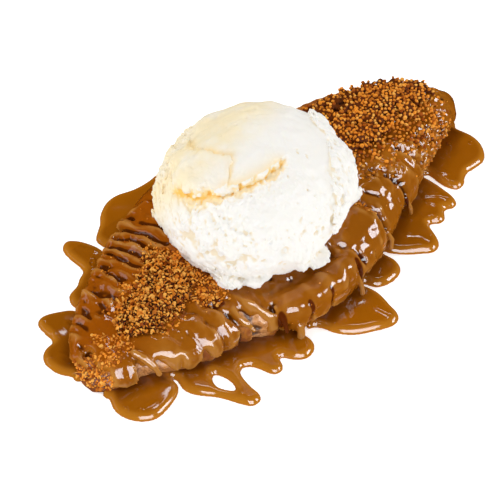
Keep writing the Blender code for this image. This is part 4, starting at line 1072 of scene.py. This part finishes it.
crumb = crumb_material()
rng = np.random.default_rng(61)
heap_points = {}
for name, (grain_size, bumps, dark) in HEAPS.items():
    lattice = lattice_round([name], CRUMB_STEP, 1.5)
    field = blurred(node_field(name, lattice, 3.0), lattice.voxel, 0.5) + 0.15
    field = field - bumps * noise(lattice.lines, (grain_size,) * 3, 31)
    points, quads = field_mesh(field, lattice)
    heap = mesh_object(name + "_heap", points, quads)
    # painted shade: the heap's surface between the grains dark, darker in its hollows
    hollow = hollows(field, lattice, points, 0.5)
    finish_piece(heap, crumb, CRUMB, [name], tone=0.1, gap=dark + 2.2 * np.clip(hollow, 0, 0.25))
    normals = sample_gradient(field, lattice.places(points))
    heap_points[name] = points[normals[:, 2] > 0.1 * np.linalg.norm(normals, axis=1)]

front = heap_points["crumbs_front"]
for layer, (spacing, sizes, lift, tone) in enumerate(FRONT_LAYERS):
    scatter(f"front_crumbs_{layer}", front, spacing, np.ones(len(front)), lift, sizes,
            (7, 0.15, 0.55), (tone, 0.48), rng, 1.9)

rear = heap_points["crumbs_rear"]
clumps = noise([np.arange(-90.0, 90.0)] * 2, (6.0, 6.0), 62)
clumped = smoothstep(-0.9, 0.3, sample(clumps, rear[:, :2] + 90))
share = (0.05 + 0.95 * reach_share(REAR_REACH, rear)) * (0.2 + 0.8 * clumped)
scatter("rear_crumbs", rear, 1.08, share, 0.2, (0.42, 0.72), (5, 0.6, 0.95), (0.62, 0.28), rng)

outer = np.concatenate([
    coat_points[sample(sauce_field, coat_lattice.places(coat_points)) > -0.3],
    pastry_points[sample(sauce_field, coat_lattice.places(pastry_points)) > -0.3]])
outer = outer[outer[:, 2] > 1.0]
aside = np.hypot(outer[:, 0] - CREAM_MIDDLE[0], outer[:, 1] - CREAM_MIDDLE[1])
inside = reach_share(REAR_REACH, outer) * (aside > SCOOP_CLEAR)
scatter("rear_edge_crumbs", outer, 1.2, inside, 0.3, (0.42, 0.75), (5, 0.6, 0.95), (0.5, 0.28),
        rng)
around = reach_share(REAR_REACH, outer, 7.0, outward=True) * (aside > SCOOP_CLEAR)
around = around * (outer[:, 0] > 20.0)
share = (0.04 + 0.12 * smoothstep(62.0, 70.0, outer[:, 0])) * around * (1 - inside)
scatter("far_crumbs", outer, 1.2, share, 0.0, (0.4, 0.75), (5, 0.5, 0.9), (0.5, 0.3), rng)
inside = reach_share(FRONT_REACH, outer) * (outer[:, 2] > 8.0)
strays = [outer[spread(outer, 0.72, inside, rng)] + np.array([0, 0, 0.25])]
for line, reach, count in STRAYS:
    apart = to_line((outer[:, 0], outer[:, 1]), line)[0]
    near = outer[(apart < reach) & (outer[:, 2] > 2.0)]
    strays.append(near[spread(near, 0.7, np.full(len(near), 0.5), rng)[:count]])
strays.append(outer[rng.choice(len(outer), DUST, replace=False)])
sizes = [rng.uniform(0.3, 0.6, sum(map(len, strays[:-1]))), rng.uniform(0.14, 0.3, DUST)]
strays = np.concatenate(strays)
grains("stray_crumbs", strays, np.concatenate(sizes), (6, 0.3, 0.7), rng,
       np.clip(rng.normal(0.6, 0.33, len(strays)), 0, 1), 1.6)


# ---- stage ------------------------------------------------------------------------------
def make_camera():
    """The photograph's camera, over the near left side."""
    azimuth, elevation = math.radians(VIEW_AZIMUTH), math.radians(VIEW_ELEVATION)
    back = Vector((math.sin(azimuth) * math.cos(elevation),
                   -math.cos(azimuth) * math.cos(elevation), math.sin(elevation)))
    data = bpy.data.cameras.new("camera")
    data.sensor_width, data.lens = SENSOR, LENS
    data.shift_x, data.shift_y = VIEW_SHIFT
    data.clip_start, data.clip_end = 0.02, 20
    made = link("camera", data)
    made.location = (Vector(VIEW_TARGET) + back * VIEW_DISTANCE) * MM
    made.rotation_mode = "QUATERNION"
    made.rotation_quaternion = (-back).to_track_quat("-Z", "Y")
    bpy.context.scene.camera = made


def make_lamp(name, toward, distance, size, power, mirrored):
    """A softbox in a direction from the food, which it either lights or is mirrored by."""
    direction = Vector(toward).normalized()
    data = bpy.data.lights.new(name, "AREA")
    data.shape = "RECTANGLE"
    data.size, data.size_y = size[0] * MM, size[1] * MM
    data.energy = power
    data.color = COOL_WHITE if mirrored else (1.0, 1.0, 1.0)
    made = link(name, data)
    made.location = direction * distance * MM
    made.rotation_mode = "QUATERNION"
    made.rotation_quaternion = direction.to_track_quat("Z", "Y")
    made.visible_diffuse, made.visible_glossy = not mirrored, mirrored


def make_stage():
    """A white light table, a white room and the softboxes."""
    mesh = bpy.data.meshes.new("floor")
    mesh.from_pydata([(x * FLOOR_REACH, y * FLOOR_REACH, -0.05 * MM)
                      for x, y in ((-1, -1), (1, -1), (1, 1), (-1, 1))], [], [(0, 1, 2, 3)])
    floor = link("floor", mesh)
    made = bpy.data.materials.new("white_light_table")
    made.use_nodes = True
    put(made.node_tree.nodes["Principled BSDF"],
        {"Base Color": colour("#FAFAFA"), "Roughness": 0.9,
         "Emission Color": colour("#FFFFFF"), "Emission Strength": 0.5})
    mesh.materials.append(made)
    floor.visible_glossy = False    # its mirror image would veil the sauce's colour
    world = bpy.data.worlds.new("studio")
    world.use_nodes = True
    put(world.node_tree.nodes["Background"], {"Color": colour("#FFFFFF"), "Strength": 0.62})
    bpy.context.scene.world = world
    world.cycles_visibility.glossy = False
    bpy.context.scene.view_settings.view_transform = "Standard"
    for name, lamp in LAMPS.items():
        make_lamp(name, *lamp)


make_camera()
make_stage()
